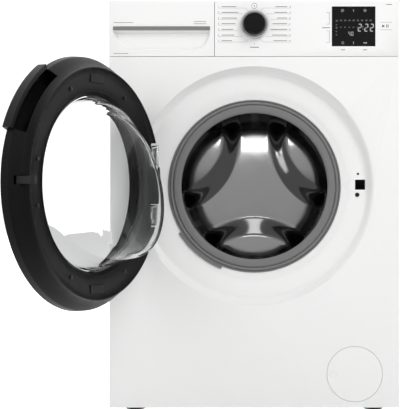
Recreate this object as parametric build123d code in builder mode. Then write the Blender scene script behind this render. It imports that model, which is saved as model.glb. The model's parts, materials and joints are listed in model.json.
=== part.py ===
"""Front load washing machine, 600 x 550 x 850 mm, as an assembly of separate pieces.

Frame: origin on the floor under the middle of the cabinet, +X to the right of a person
facing the machine, +Y to its back, +Z up. The door stands open at its rest angle.
"""

import os
from math import cos, radians, sin

from build123d import *

# Cabinet
WIDTH = 600
DEPTH = 550
HEIGHT = 850
SHEET = 1.0
GROUND_GAP = 10
TOP_THICKNESS = 16
SEAM = 1.0
CORNER = 4.0
FRONT = -DEPTH / 2
BACK = DEPTH / 2
SIDE = WIDTH / 2
INNER_SIDE = SIDE - SHEET
FLANGE_BACK = FRONT + 24
REAR_WALL = BACK - 5
FASCIA_BOTTOM = 734.5
TOP_UNDER = HEIGHT - TOP_THICKNESS

# Drum axis, drum and tub
DRUM_Z = 467
DRUM_R = 240
DRUM_FRONT = FRONT + 103
DRUM_BACK = FRONT + 417
MOUTH_R = 165
LOBE_CENTRE = 257
LOBE_R = 190
LOBE_EDGE = 215
LOBE_RISE = 12
TUB_R = 257
TUB_WALL = 5
TUB_FRONT = FRONT + 85
TUB_SPLIT = -40
TUB_BACK = 175
SHAFT_R = 15
PULLEY_R = 140
PULLEY_FRONT = 197
PULLEY_BACK = 210

# Door opening in the front panel
RECESS_R = 247
RECESS_DEPTH = 20
RING_DEPTH = 27
PANEL_HOLE_R = 174

# Door
DOOR_R = 237.7
GLASS_R = 163.7
HINGE_X = -215.7
HINGE_Y = FRONT - 8.6
HINGE_SPREAD = 62
DOOR_OPEN = 115.2
DOOR_LIMIT = 120
BOWL_TILT = 12
POCKET = 24
LATCH_X = 220
LATCH_Z = 470

# Control panel and drawer
DRAWER_RIGHT = -82.4
DIAL_Z = 800
DIAL_R = 29
CAP_R = 22
DISPLAY = (159.7, 249.6, 755.2, 837.3)
SLOT_HALF = 10.5

# Detergent dispenser
HOUSING_X = (-296, -86)
HOUSING_Y = (FRONT + 19, 45)
HOUSING_Z = (737, 833)
TRAY_X = (-291, -91)
TRAY_Y = (FRONT + 18, -12)
TRAY_Z = (742, 800)
OUTLET = (-190, 15, 22)

# Pump service bay
FILTER_X = 207
FILTER_Z = 79
FLAP_R = 56.8
FLAP_GAP = 0.7
FLAP_HINGE_X = FILTER_X + FLAP_R - 3
PUMP_R = 36

# Feet
FOOT_X = 250
FOOT_Y = 225
FOOT_R = 20
STUD_R = 5
FEET = [
    ("foot_front_left", -FOOT_X, -FOOT_Y),
    ("foot_front_right", FOOT_X, -FOOT_Y),
    ("foot_rear_left", -FOOT_X, FOOT_Y),
    ("foot_rear_right", FOOT_X, FOOT_Y),
]

# Motor
MOTOR_X = 95
MOTOR_Z = 161
MOTOR_R = 55
MOTOR_PULLEY_R = 12

# Suspension and sump
DAMPER_X = 150
DAMPER_Y = -60
SUMP_X = 100
SUMP_Y = -130
SPRING_X = 225
SPRING_Y = 70

# Openings in the back of the cabinet
TRANSIT_HOLES = [(-130, 330), (130, 330), (-130, 600), (130, 600)]
INLET_X = 240
INLET_Z = 785
INLET_R = 13.2
DRAIN_X = 240
DRAIN_Z = 700
DRAIN_R = 10
PORT_NECK = 2  # length of the relieved neck outside the rear wall
PORT_RELIEF = 1  # how much slimmer the neck is than the port
CORD_X = -240
CORD_Z = 785
CORD_R = 9
REAR_PORTS = [(INLET_X, INLET_Z, INLET_R), (DRAIN_X, DRAIN_Z, DRAIN_R), (CORD_X, CORD_Z, CORD_R)]

FIT = 0.05
DOOR_AXIS = Axis((HINGE_X, HINGE_Y, 0), (0, 0, 1))

os.makedirs("parts", exist_ok=True)


def write(piece, name):
    """Label a finished piece and write its file."""
    piece.part.label = name
    export_step(piece.part, f"parts/{name}.step")


def write_swung(piece, name):
    """Write a door piece, built shut, at the angle at which the door rests open."""
    swung = piece.part.rotate(DOOR_AXIS, -DOOR_OPEN)
    swung.label = name
    export_step(swung, f"parts/{name}.step")


def turned(points, x=0, z=DRUM_Z, arc=360, mode=Mode.ADD):
    """Revolve an outline of (radius, y) points about a line along Y."""
    with BuildSketch(Plane((x, 0, z))) as outline:
        with BuildLine():
            Polyline(*points, close=True)
        make_face()
    revolve(outline.sketch, axis=Axis((x, 0, z), (0, 1, 0)), revolution_arc=arc, mode=mode)


def door_section(points):
    """Revolve a door outline whose depths are counted back from the front of the cabinet."""
    turned([(radius, FRONT + depth) for radius, depth in points])


def block(x, y, z, mode=Mode.ADD):
    """A box between two limits along each axis."""
    with Locations((sum(x) / 2, sum(y) / 2, sum(z) / 2)):
        Box(x[1] - x[0], y[1] - y[0], z[1] - z[0], mode=mode)


def rod_y(x, z, radius, y, mode=Mode.ADD):
    """A cylinder along Y between two limits."""
    with Locations(Location((x, sum(y) / 2, z), (90, 0, 0))):
        Cylinder(radius, y[1] - y[0], mode=mode)


def rod_z(x, y, radius, z, mode=Mode.ADD):
    """A cylinder along Z between two limits."""
    with Locations((x, y, sum(z) / 2)):
        Cylinder(radius, z[1] - z[0], mode=mode)


def rounded_block(x, y, z, radius, at_front, mode=Mode.ADD):
    """A block with its two upright corners at the front, or else at the back, rounded."""
    with BuildSketch(Plane.XY.offset(z[0])) as plan:
        with Locations((sum(x) / 2, sum(y) / 2)):
            Rectangle(x[1] - x[0], y[1] - y[0])
        corners = plan.vertices().group_by(Axis.Y)
        fillet(corners[0] if at_front else corners[-1], radius)
    extrude(plan.sketch, amount=z[1] - z[0], mode=mode)


def mirrored_pair(shape):
    """Call a shape function once on each side of the middle plane."""
    for side in (-1, 1):
        shape(side)


# ---------------------------------------------------------------- cabinet


def make_cabinet_wrap():
    opening_x = 200
    opening_z = (150, 760)
    height = (GROUND_GAP, TOP_UNDER)
    lip = 15
    with BuildPart() as cabinet_wrap:
        rounded_block((-SIDE, SIDE), (FLANGE_BACK, REAR_WALL), height, CORNER, False)
        inside_y = (FLANGE_BACK + SHEET, REAR_WALL - SHEET)
        rounded_block((-INNER_SIDE, INNER_SIDE), inside_y, height, CORNER - SHEET, False, Mode.SUBTRACT)
        front_y = (FLANGE_BACK, FLANGE_BACK + SHEET)
        block((lip - INNER_SIDE, INNER_SIDE - lip), front_y, height, Mode.SUBTRACT)
        block((-INNER_SIDE, INNER_SIDE), front_y, (FASCIA_BOTTOM, TOP_UNDER), Mode.SUBTRACT)
        rear_y = (REAR_WALL - SHEET, REAR_WALL)
        block((-opening_x, opening_x), rear_y, opening_z, Mode.SUBTRACT)
        for x, z, radius in REAR_PORTS:
            rod_y(x, z, radius + FIT, (REAR_WALL - 10, REAR_WALL + 5), Mode.SUBTRACT)
        cross_rail()
        mirrored_pair(spring_hanger)
    write(cabinet_wrap, "cabinet_wrap")


def cross_rail():
    """The folded rail across the top of the front opening."""
    rail_y = (FLANGE_BACK + 1, FLANGE_BACK + 26)
    block((-INNER_SIDE, INNER_SIDE), rail_y, (FASCIA_BOTTOM - 1, FASCIA_BOTTOM + 1))
    block((-INNER_SIDE, INNER_SIDE), (rail_y[1] - 2, rail_y[1]), (FASCIA_BOTTOM - 14, FASCIA_BOTTOM))


def spring_hanger(side):
    """The bracket on one side wall that a suspension spring hangs from."""
    x = side * SPRING_X
    arm_x = sorted((x - side * 12, side * INNER_SIDE))
    plate_x = sorted((side * (INNER_SIDE - 3), side * INNER_SIDE))
    block(arm_x, (SPRING_Y - 14, SPRING_Y + 14), (797, 803))
    block(plate_x, (SPRING_Y - 20, SPRING_Y + 20), (740, 803))


def recess_outline(back):
    """The pressed door surround, from its rim on the face in to the gasket's edge."""
    shift = SHEET if back else 0
    front = [(RECESS_R + 4, 0), (RECESS_R, 0), (235.5, 16), (231.5, 20), (198, 20), (190, RING_DEPTH)]
    line = [(radius + shift * 0.7, depth + shift) for radius, depth in front]
    line.append((PANEL_HOLE_R, RING_DEPTH + shift))
    return [(radius, FRONT + depth) for radius, depth in line]


def make_front_panel():
    top = FASCIA_BOTTOM - SEAM
    bay_r = FLAP_R + FLAP_GAP
    with BuildPart() as front_panel:
        rounded_block((-SIDE, SIDE), (FRONT, FLANGE_BACK), (GROUND_GAP, top), CORNER, True)
        inside_y = (FRONT + SHEET, FLANGE_BACK)
        inside_z = (GROUND_GAP + SHEET, top - SHEET)
        rounded_block((-INNER_SIDE, INNER_SIDE), inside_y, inside_z, CORNER - SHEET, True, Mode.SUBTRACT)
        rod_y(0, DRUM_Z, RECESS_R + 2, (FRONT - 1, FRONT + 2), Mode.SUBTRACT)
        turned(recess_outline(False) + recess_outline(True)[::-1])
        latch_x = (LATCH_X - SLOT_HALF, LATCH_X + SLOT_HALF)
        latch_z = (LATCH_Z - SLOT_HALF, LATCH_Z + SLOT_HALF)
        block(latch_x, (FRONT + 15, FRONT + 25), latch_z, Mode.SUBTRACT)
        rod_y(LATCH_X - 4.5, LATCH_Z + 22.5, 2.5, (FRONT + 18, FRONT + 25), Mode.SUBTRACT)
        rod_y(LATCH_X - 6, LATCH_Z - 21, 2.5, (FRONT + 18, FRONT + 25), Mode.SUBTRACT)
        rod_y(FILTER_X, FILTER_Z, bay_r, (FRONT - 1, FRONT + 2), Mode.SUBTRACT)
    write(front_panel, "front_panel")


def make_worktop():
    with BuildPart() as worktop:
        block((-SIDE, SIDE), (FRONT + 19, BACK), (TOP_UNDER, HEIGHT))
        fillet(worktop.edges().filter_by(Axis.Z).sort_by(Axis.Y)[-2:], CORNER)
        fillet(worktop.faces().sort_by(Axis.Z)[-1].edges().sort_by(Axis.Y)[1:], 2)
    write(worktop, "worktop")


def make_rear_panel():
    with BuildPart() as rear_panel:
        block((-212, 212), (REAR_WALL, REAR_WALL + SHEET), (138, 772))
        for z in (230, 680):
            block((-170, 170), (REAR_WALL, REAR_WALL + 3), (z, z + 20))
        for x, z in TRANSIT_HOLES:
            rod_y(x, z, 12 + FIT, (REAR_WALL - 2, REAR_WALL + 5), Mode.SUBTRACT)
    write(rear_panel, "rear_panel")


def make_transit_caps():
    with BuildPart() as transit_caps:
        for x, z in TRANSIT_HOLES:
            rod_y(x, z, 12, (REAR_WALL - 8, REAR_WALL + SHEET))
            rod_y(x, z, 17, (REAR_WALL + SHEET, REAR_WALL + SHEET + 3))
            rod_y(x, z, 9, (REAR_WALL - 8, REAR_WALL - 1), Mode.SUBTRACT)
    write(transit_caps, "transit_caps")


def make_base_frame():
    pan_top = GROUND_GAP + 2
    beam_top = 30
    with BuildPart() as base_frame:
        pan_y = (FLANGE_BACK + SHEET, REAR_WALL - SHEET)
        rounded_block((-INNER_SIDE, INNER_SIDE), pan_y, (GROUND_GAP, pan_top), CORNER - SHEET, False)
        block((-120, 120), (-150, 150), (GROUND_GAP, pan_top), Mode.SUBTRACT)
        for x in (-1, 1):
            ribs = sorted((x * 272, x * 290))
            block(ribs, (FLANGE_BACK + 10, REAR_WALL - 10), (pan_top, beam_top))
            for y in (-FOOT_Y, FOOT_Y):
                block(sorted((x * 230, x * 272)), (y - 20, y + 20), (pan_top, beam_top))
                rod_z(x * FOOT_X, y, STUD_R + FIT, (GROUND_GAP, beam_top), Mode.SUBTRACT)
            damper = (x * DAMPER_X - 20, x * DAMPER_X + 20)
            block(damper, (DAMPER_Y - 20, DAMPER_Y + 20), (pan_top, beam_top))
    write(base_frame, "base_frame")


def make_feet():
    """Four levelling feet, each a round pad on a threaded stud."""
    for name, x, y in FEET:
        with BuildPart() as foot:
            rod_z(x, y, FOOT_R, (0, 7))
            rod_z(x, y, 9, (7, 9))
            rod_z(x, y, STUD_R, (9, 40))
        write(foot, name)


# ---------------------------------------------------------------- control panel


def make_control_fascia():
    left = DRAWER_RIGHT + SEAM / 2
    wall = 2.5
    x0, x1, z0, z1 = DISPLAY
    with BuildPart() as control_fascia:
        block((left, SIDE), (FRONT, FRONT + 18), (FASCIA_BOTTOM, HEIGHT))
        corner = control_fascia.edges().filter_by(Axis.Z).group_by(Axis.Y)[0].sort_by(Axis.X)[-1]
        fillet(corner, CORNER)
        fillet(control_fascia.faces().sort_by(Axis.Y)[0].edges().sort_by(Axis.Z)[-1], 2)
        inside_z = (FASCIA_BOTTOM + wall, HEIGHT - wall)
        block((left + wall, SIDE - wall), (FRONT + wall, FRONT + 18), inside_z, Mode.SUBTRACT)
        block((x0, x1), (FRONT - 1, FRONT + wall), (z0, z1), Mode.SUBTRACT)
        rod_y(0, DIAL_Z, 4, (FRONT - 1, FRONT + wall), Mode.SUBTRACT)
        block((left + 20, SIDE - 10), (FRONT + 18, FRONT + 24), (FASCIA_BOTTOM, FASCIA_BOTTOM + wall))
    write(control_fascia, "control_fascia")


def make_display():
    x0, x1, z0, z1 = DISPLAY
    with BuildPart() as display_glass:
        block((x0, x1), (FRONT - 0.5, FRONT + 2.5), (z0, z1))
        fillet(display_glass.faces().sort_by(Axis.Y)[0].edges(), 0.4)
    write(display_glass, "display_glass")
    with BuildPart() as display_module:
        block((x0 - 4, x1 + 4), (FRONT + 2.5, FRONT + 8), (z0 - 4, z1 + 4))
        block((-40, x1 + 30), (FRONT + 8, FRONT + 10), (z0 - 8, z1 + 4))
        block((x0 + 10, x1 - 10), (FRONT + 10, FRONT + 16), (z0 + 10, z0 + 20))
        block((-14, 14), (FRONT + 2.5, FRONT + 14), (DIAL_Z - 14, DIAL_Z + 14))
        rod_y(0, DIAL_Z, 3, (FRONT - 16, FRONT + 3))
    write(display_module, "control_module")


def make_dial():
    """The programme dial: a ring with a cap pressed over the encoder's shaft."""
    base = FRONT - 0.5
    with BuildPart() as ring:
        outline = [(CAP_R + FIT, base), (DIAL_R, base), (DIAL_R - 0.6, base - 9)]
        outline += [(CAP_R + FIT + 1, base - 12), (CAP_R + FIT, base - 11)]
        turned(outline, z=DIAL_Z)
    write(ring, "dial_ring")
    with BuildPart() as cap:
        outline = [(3 + FIT, base), (CAP_R, base), (CAP_R - 0.5, base - 19), (CAP_R - 2.5, base - 21)]
        outline += [(0, base - 21.5), (0, base - 17), (3 + FIT, base - 17)]
        turned(outline, z=DIAL_Z)
    write(cap, "dial_cap")


def make_control_box():
    with BuildPart() as control_box:
        block((215, 290), (-180, 20), (752, 826))
        fillet(control_box.edges().filter_by(Axis.Z), 6)
        block((219, 286), (-176, 16), (756, 822), Mode.SUBTRACT)
        block((223, 282), (-170, 10), (756, 758))
        block((290, INNER_SIDE), (-120, -60), (770, 800))
    write(control_box, "main_control_box")


# ---------------------------------------------------------------- detergent drawer


def make_dispenser_housing():
    wall = 2.5
    x, y, z = HOUSING_X, HOUSING_Y, HOUSING_Z
    out_x, out_y, out_r = OUTLET
    with BuildPart() as housing:
        block(x, y, z)
        block((x[0] + wall, x[1] - wall), (y[0], y[1] - wall), (z[0] + wall, z[1] - wall), Mode.SUBTRACT)
        rod_z(out_x, out_y, out_r, (700, z[0]))
        rod_z(out_x, out_y, out_r - 3, (700, z[0] + wall), Mode.SUBTRACT)
        block((x[0] + 100, x[0] + 130), (y[1], y[1] + 12), (z[1] - 20, z[1] - 6))
    write(housing, "dispenser_housing")


def make_drawer():
    with BuildPart() as front:
        block((-SIDE, DRAWER_RIGHT - SEAM / 2), (FRONT, FRONT + 18), (FASCIA_BOTTOM, HEIGHT))
        corner = front.edges().filter_by(Axis.Z).group_by(Axis.Y)[0].sort_by(Axis.X)[0]
        fillet(corner, CORNER)
        fillet(front.faces().sort_by(Axis.Y)[0].edges().sort_by(Axis.Z)[-1], 2)
        inside_x = (-SIDE + 3, DRAWER_RIGHT - 3.5)
        block(inside_x, (FRONT + 12, FRONT + 18), (FASCIA_BOTTOM + 3, HEIGHT - 3), Mode.SUBTRACT)
        with BuildSketch(Plane((0, FRONT, 0), x_dir=(1, 0, 0), z_dir=(0, -1, 0))) as scoop:
            with BuildLine():
                Line((-291, 789), (-92, 789))
                Line((-92, 789), (-92, 784))
                TangentArc((-92, 784), (-140, 748), tangent=(0, -1))
                Line((-140, 748), (-243, 748))
                TangentArc((-291, 784), (-243, 748), tangent=(0, -1))
                Line((-291, 784), (-291, 789))
            make_face()
        extrude(scoop.sketch, amount=-10, taper=25, mode=Mode.SUBTRACT)
        block((-270, -110), (FRONT + 12, FRONT + 18), (760, 780))
        block((-291, -92), (FRONT - 1.5, FRONT + 2), (788, 796))
    write(front, "drawer_front")


def make_drawer_tray():
    wall = 2
    floor = 3
    x, y, z = TRAY_X, TRAY_Y, TRAY_Z
    rooms = [(x[0] + wall, -228), (-226, -158), (-156, x[1] - wall)]
    with BuildPart() as tray:
        block(x, y, z)
        for left, right in rooms:
            block((left, right), (y[0] + 6, y[1] - wall), (z[0] + floor, z[1]), Mode.SUBTRACT)
        for left, right in rooms[1:]:
            block((left + 20, right - 20), (y[1] - wall, y[1]), (z[0] + floor, z[0] + 25), Mode.SUBTRACT)
    write(tray, "drawer_tray")


def make_siphon_insert():
    with BuildPart() as siphon:
        block((TRAY_X[0] + 3, -229), (-110, -20), (793, 798))
        rod_z(-258, -60, 7, (750, 793))
        rod_z(-258, -60, 4, (750, 788), Mode.SUBTRACT)
        block((-266, -250), (-105, -90), (798, 803))
    write(siphon, "siphon_insert")


def make_dispenser_hose():
    """The rubber bellows between the dispenser's outlet and the tub's inlet."""
    x, y, outlet_r = OUTLET
    ribs = 5
    bottom = 676
    height = 48
    pitch = height / ribs
    with BuildPart() as hose:
        rod_z(x, y, outlet_r + 2.5 + FIT, (bottom, bottom + height))
        for rib in range(ribs):
            middle = bottom + pitch * (rib + 0.5)
            rod_z(x, y, outlet_r + 5.5, (middle - 1.5, middle + 1.5))
        rod_z(x, y, outlet_r + FIT, (bottom, bottom + height), Mode.SUBTRACT)
    write(hose, "dispenser_hose")


# ---------------------------------------------------------------- services


def make_inlet_valve():
    with BuildPart() as valve:
        rod_y(INLET_X, INLET_Z, INLET_R - PORT_RELIEF, (REAR_WALL - 12, REAR_WALL + PORT_NECK))
        rod_y(INLET_X, INLET_Z, INLET_R, (REAR_WALL + PORT_NECK, BACK + 17))
        rod_y(INLET_X, INLET_Z, 8, (REAR_WALL, BACK + 17), Mode.SUBTRACT)
        body_z = (INLET_Z - 18, INLET_Z + 18)
        block((INLET_X - 20, INLET_X + 20), (REAR_WALL - 50, REAR_WALL - 11), body_z)
        rod_y(INLET_X, INLET_Z, 19, (REAR_WALL - 11, REAR_WALL - SHEET))
        rod_z(INLET_X, REAR_WALL - 32, 13, (INLET_Z + 18, INLET_Z + 38))
    write(valve, "inlet_valve")


def make_power_gland():
    with BuildPart() as gland:
        rod_y(CORD_X, CORD_Z, CORD_R, (REAR_WALL - 14, REAR_WALL + 10))
        rod_y(CORD_X, CORD_Z, CORD_R + 4, (REAR_WALL, REAR_WALL + 3))
        rod_y(CORD_X, CORD_Z, CORD_R + 4, (REAR_WALL - 6, REAR_WALL - SHEET))
        rod_y(CORD_X, CORD_Z, 4, (REAR_WALL - 14, REAR_WALL + 10), Mode.SUBTRACT)
    write(gland, "power_gland")


def make_drain_spigot():
    with BuildPart() as spigot:
        rod_y(DRAIN_X, DRAIN_Z, DRAIN_R - PORT_RELIEF, (REAR_WALL - 12, REAR_WALL + PORT_NECK))
        rod_y(DRAIN_X, DRAIN_Z, DRAIN_R, (REAR_WALL + PORT_NECK, BACK + 20))
        rod_y(DRAIN_X, DRAIN_Z, DRAIN_R + 4, (REAR_WALL - 4, REAR_WALL - SHEET))
        rod_y(DRAIN_X, DRAIN_Z, 7.5, (REAR_WALL - 12, BACK + 20), Mode.SUBTRACT)
    write(spigot, "drain_spigot")


def make_drain_hose():
    """The hose inside the cabinet from the pump to the drain spigot."""
    start = (250, -141, 79)
    end = (DRAIN_X, REAR_WALL - 12, DRAIN_Z)
    points = [start, (250, -90, 79), (250, 100, 50), (255, 225, 90), (245, 240, 300)]
    points += [(DRAIN_X, 232, 600), (DRAIN_X, 228, DRAIN_Z), end]
    with BuildPart() as hose:
        with BuildLine() as route:
            FilletPolyline(*points, radius=12)
        with BuildSketch(Plane(origin=start, z_dir=route.wires()[0] % 0)):
            Circle(9)
        sweep(path=route.wires()[0])
    write(hose, "drain_hose")


# ---------------------------------------------------------------- pump and filter


def make_filter_bay():
    """The plastic frame behind the service flap."""
    inner = FLAP_R + FLAP_GAP
    back = FRONT + 30
    with BuildPart() as bay:
        rod_y(FILTER_X, FILTER_Z, inner + 5, (FRONT + SHEET, back))
        rod_y(FILTER_X, FILTER_Z, inner, (FRONT + SHEET, back - 3), Mode.SUBTRACT)
        rod_y(FILTER_X, FILTER_Z, 36, (back - 4, back), Mode.SUBTRACT)
    write(bay, "filter_bay")


def make_filter_flap():
    with BuildPart() as flap:
        rod_y(FILTER_X, FILTER_Z, FLAP_R, (FRONT, FRONT + 2.5))
        rod_y(FILTER_X - 43, FILTER_Z, 7, (FRONT, FRONT + 1.2), Mode.SUBTRACT)
        block((FLAP_HINGE_X - 6, FLAP_HINGE_X), (FRONT + 2.5, FRONT + 4), (FILTER_Z - 14, FILTER_Z + 14))
        block((FILTER_X - 54, FILTER_X - 51), (FRONT + 2.5, FRONT + 9), (FILTER_Z - 6, FILTER_Z + 6))
    write(flap, "filter_flap")


def make_drain_pump():
    with BuildPart() as pump:
        rod_y(FILTER_X, FILTER_Z, PUMP_R - FIT, (FRONT + 12, FRONT + 112))
        rod_y(FILTER_X, FILTER_Z, 45, (FRONT + 30, FRONT + 36))
        rod_y(FILTER_X, FILTER_Z, 32, (FRONT + 112, FRONT + 190))
        block((FILTER_X + 15, FILTER_X + 54), (FRONT + 116, FRONT + 134), (FILTER_Z - 9, FILTER_Z + 9))
        rod_z(FILTER_X, FRONT + 70, 16, (FILTER_Z + 20, FILTER_Z + 62))
        block((FILTER_X - 22, FILTER_X + 22), (FRONT + 40, FRONT + 180), (12, FILTER_Z - 20))
        rod_y(FILTER_X, FILTER_Z, 32, (FRONT + 11, FRONT + 106), Mode.SUBTRACT)
        rod_y(FILTER_X, FILTER_Z, 24, (FRONT + 106, FRONT + 132), Mode.SUBTRACT)
        rod_z(FILTER_X, FRONT + 70, 12, (FILTER_Z + 10, FILTER_Z + 63), Mode.SUBTRACT)
    write(pump, "drain_pump")
    with BuildPart() as impeller:
        rod_y(FILTER_X, FILTER_Z, 6, (FRONT + 112, FRONT + 131))
        for turn in (0, 90):
            with Locations(Location((FILTER_X, FRONT + 120, FILTER_Z), (0, turn, 0))):
                Box(42, 12, 2.4)
    write(impeller, "pump_impeller")


def make_filter_cap():
    """The screw cap with its lint cage, turned by the bar across its face."""
    with BuildPart() as cap:
        rod_y(FILTER_X, FILTER_Z, 31.7, (FRONT + 13, FRONT + 30))
        rod_y(FILTER_X, FILTER_Z, 28, (FRONT + 12, FRONT + 18), Mode.SUBTRACT)
        block((FILTER_X - 27, FILTER_X + 27), (FRONT + 9, FRONT + 19), (FILTER_Z - 4, FILTER_Z + 4))
        rod_y(FILTER_X, FILTER_Z, 27, (FRONT + 98, FRONT + 102))
        for step in range(10):
            angle = radians(36 * step)
            x = FILTER_X + 24 * cos(angle)
            z = FILTER_Z + 24 * sin(angle)
            rod_y(x, z, 2, (FRONT + 29, FRONT + 99))
    write(cap, "filter_cap")


# ---------------------------------------------------------------- tub group


def make_tub_front():
    wall = TUB_R - TUB_WALL
    with BuildPart() as tub_front:
        outline = [(wall, TUB_SPLIT), (TUB_R, TUB_SPLIT), (TUB_R, TUB_FRONT + 6), (TUB_R - 6, TUB_FRONT)]
        outline += [(173, TUB_FRONT), (173, TUB_FRONT - 15), (170, TUB_FRONT - 15), (170, TUB_FRONT + 4)]
        outline += [(TUB_R - 9, TUB_FRONT + 4), (wall, TUB_FRONT + 8)]
        turned(outline)
        rim = TUB_R + 9
        turned([(TUB_R, TUB_SPLIT - 8), (rim, TUB_SPLIT - 8), (rim, TUB_SPLIT), (TUB_R, TUB_SPLIT)])
        rod_z(SUMP_X, SUMP_Y, 17, (205, 240))
        rod_z(SUMP_X, SUMP_Y, 13, (200, 250), Mode.SUBTRACT)
        inside = [(0, TUB_SPLIT), (wall, TUB_SPLIT), (wall, TUB_FRONT + 10), (0, TUB_FRONT + 10)]
        turned(inside, mode=Mode.SUBTRACT)
    write(tub_front, "tub_front")


def make_tub_rear():
    wall = TUB_R - TUB_WALL
    bearing_r = 31
    with BuildPart() as tub_rear:
        rim = TUB_R + 9
        outline = [(wall, TUB_SPLIT), (rim, TUB_SPLIT), (rim, TUB_SPLIT + 8), (TUB_R, TUB_SPLIT + 8)]
        outline += [(TUB_R, TUB_BACK - 6), (TUB_R - 6, TUB_BACK), (46, TUB_BACK), (40, 194)]
        outline += [(bearing_r + FIT, 194), (bearing_r + FIT, 167), (60, 167), (wall, 170)]
        turned(outline)
        for rib in range(12):
            add(tub_rib(rib * 30))
        mirrored_pair(tub_lugs)
        inlet_x, inlet_y, inlet_r = OUTLET
        rod_z(inlet_x, inlet_y, inlet_r, (620, 690))
        rod_z(inlet_x, inlet_y, inlet_r - 3, (600, 691), Mode.SUBTRACT)
        block((MOTOR_X - 30, MOTOR_X + 30), (20, 80), (MOTOR_Z + 50, 240))
        inside = [(0, TUB_SPLIT - 20), (wall, TUB_SPLIT - 20), (wall, 170), (60, 167), (0, 167)]
        turned(inside, mode=Mode.SUBTRACT)
        rod_y(MOTOR_X, MOTOR_Z, MOTOR_R + FIT, (0, 100), Mode.SUBTRACT)
    write(tub_rear, "tub_rear")


def tub_rib(angle):
    """One stiffening rib on the back of the tub."""
    with BuildPart(mode=Mode.PRIVATE) as rib:
        block((60, TUB_R - 10), (TUB_BACK - 1, TUB_BACK + 10), (-2.5, 2.5))
    return rib.part.rotate(Axis.Y, angle).translate((0, 0, DRUM_Z))


def tub_lugs(side):
    """The damper's lug below and the spring's lug above, on one side of the tub."""
    x = side * DAMPER_X
    block((x - 12, x + 12), (DAMPER_Y + 22, DAMPER_Y + 46), (228, 275))
    block((x - 12, x + 12), (DAMPER_Y - 14, DAMPER_Y + 46), (216, 228))
    x = side * SPRING_X
    block((x - 8, x + 8), (SPRING_Y - 14, SPRING_Y + 14), (560, 690))


def make_bearings():
    with BuildPart() as bearings:
        for y in (168, 180):
            turned([(SHAFT_R + 0.02, y), (31, y), (31, y + 11), (SHAFT_R + 0.02, y + 11)])
    write(bearings, "bearings")


def make_weights():
    with BuildPart() as front:
        turned([(186, TUB_FRONT - 26), (246, TUB_FRONT - 26), (250, TUB_FRONT), (184, TUB_FRONT)])
        block((-90, 90), (TUB_FRONT - 27, TUB_FRONT + 1), (DRUM_Z + 150, DRUM_Z + 260), Mode.SUBTRACT)
    write(front, "weight_front")
    with BuildPart() as top:
        block((-60, 190), (-150, -52), (640, 770))
        fillet(top.edges().filter_by(Axis.Z), 15)
        rod_y(0, DRUM_Z, TUB_R + FIT, (-151, -51), Mode.SUBTRACT)
    write(top, "weight_top")


def make_heater():
    height = DRUM_Z - 246
    with BuildPart() as heater:
        with BuildLine() as route:
            Line((-15, 169.5, height), (-15, -60, height))
            ThreePointArc((-15, -60, height), (0, -75, height), (15, -60, height))
            Line((15, -60, height), (15, 169.5, height))
        with BuildSketch(Plane((-15, 169.5, height), x_dir=(1, 0, 0), z_dir=(0, -1, 0))):
            Circle(3)
        sweep(path=route.wires()[0])
    write(heater, "heater")


def make_motor():
    with BuildPart() as motor:
        rod_y(MOTOR_X, MOTOR_Z, MOTOR_R, (-30, 130))
        fillet(motor.edges().filter_by(GeomType.CIRCLE), 6)
        rod_y(MOTOR_X, MOTOR_Z, 18, (129, 150))
        rod_y(MOTOR_X, MOTOR_Z, 8.1, (120, 151), Mode.SUBTRACT)
    write(motor, "motor")
    with BuildPart() as rotor:
        rod_y(MOTOR_X, MOTOR_Z, 8, (122, PULLEY_BACK + 6))
        outline = [(0, PULLEY_FRONT - 3), (15, PULLEY_FRONT - 3), (15, PULLEY_FRONT)]
        outline += [(MOTOR_PULLEY_R, PULLEY_FRONT), (MOTOR_PULLEY_R, PULLEY_BACK)]
        outline += [(15, PULLEY_BACK), (15, PULLEY_BACK + 3), (0, PULLEY_BACK + 3)]
        turned(outline, x=MOTOR_X, z=MOTOR_Z)
    write(rotor, "motor_pulley")


def belt_band(inset, mode):
    """The loop round both pulleys, grown by a thickness."""
    with BuildSketch(Plane((0, PULLEY_FRONT + 1, 0), x_dir=(1, 0, 0), z_dir=(0, 1, 0))) as band:
        with Locations((0, -DRUM_Z)):
            Circle(PULLEY_R + inset)
        with Locations((MOTOR_X, -MOTOR_Z)):
            Circle(MOTOR_PULLEY_R + inset)
        make_hull()
    extrude(band.sketch, amount=PULLEY_BACK - PULLEY_FRONT - 2, mode=mode)


def make_belt():
    with BuildPart() as belt:
        belt_band(3, Mode.ADD)
        belt_band(0.3, Mode.SUBTRACT)
    write(belt, "drive_belt")


def make_dampers():
    with BuildPart() as tubes:
        for x in (-DAMPER_X, DAMPER_X):
            rod_z(x, DAMPER_Y, 15, (30, 150))
            rod_z(x, DAMPER_Y, 11.5, (40, 150), Mode.SUBTRACT)
    write(tubes, "damper_tubes")
    with BuildPart() as rods:
        for x in (-DAMPER_X, DAMPER_X):
            rod_z(x, DAMPER_Y, 11, (75, 100))
            rod_z(x, DAMPER_Y, 8, (75, 216))
    write(rods, "damper_rods")


def make_springs():
    with BuildPart() as springs:
        for x in (-SPRING_X, SPRING_X):
            with BuildLine() as coil:
                Helix(pitch=9, height=102, radius=11, center=(x, SPRING_Y, 692.5))
            path = coil.wires()[0]
            with BuildSketch(Plane(origin=path @ 0, z_dir=path % 0)) as wire:
                Circle(2)
            sweep(wire.sketch, path=path, is_frenet=True)
    write(springs, "suspension_springs")


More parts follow.
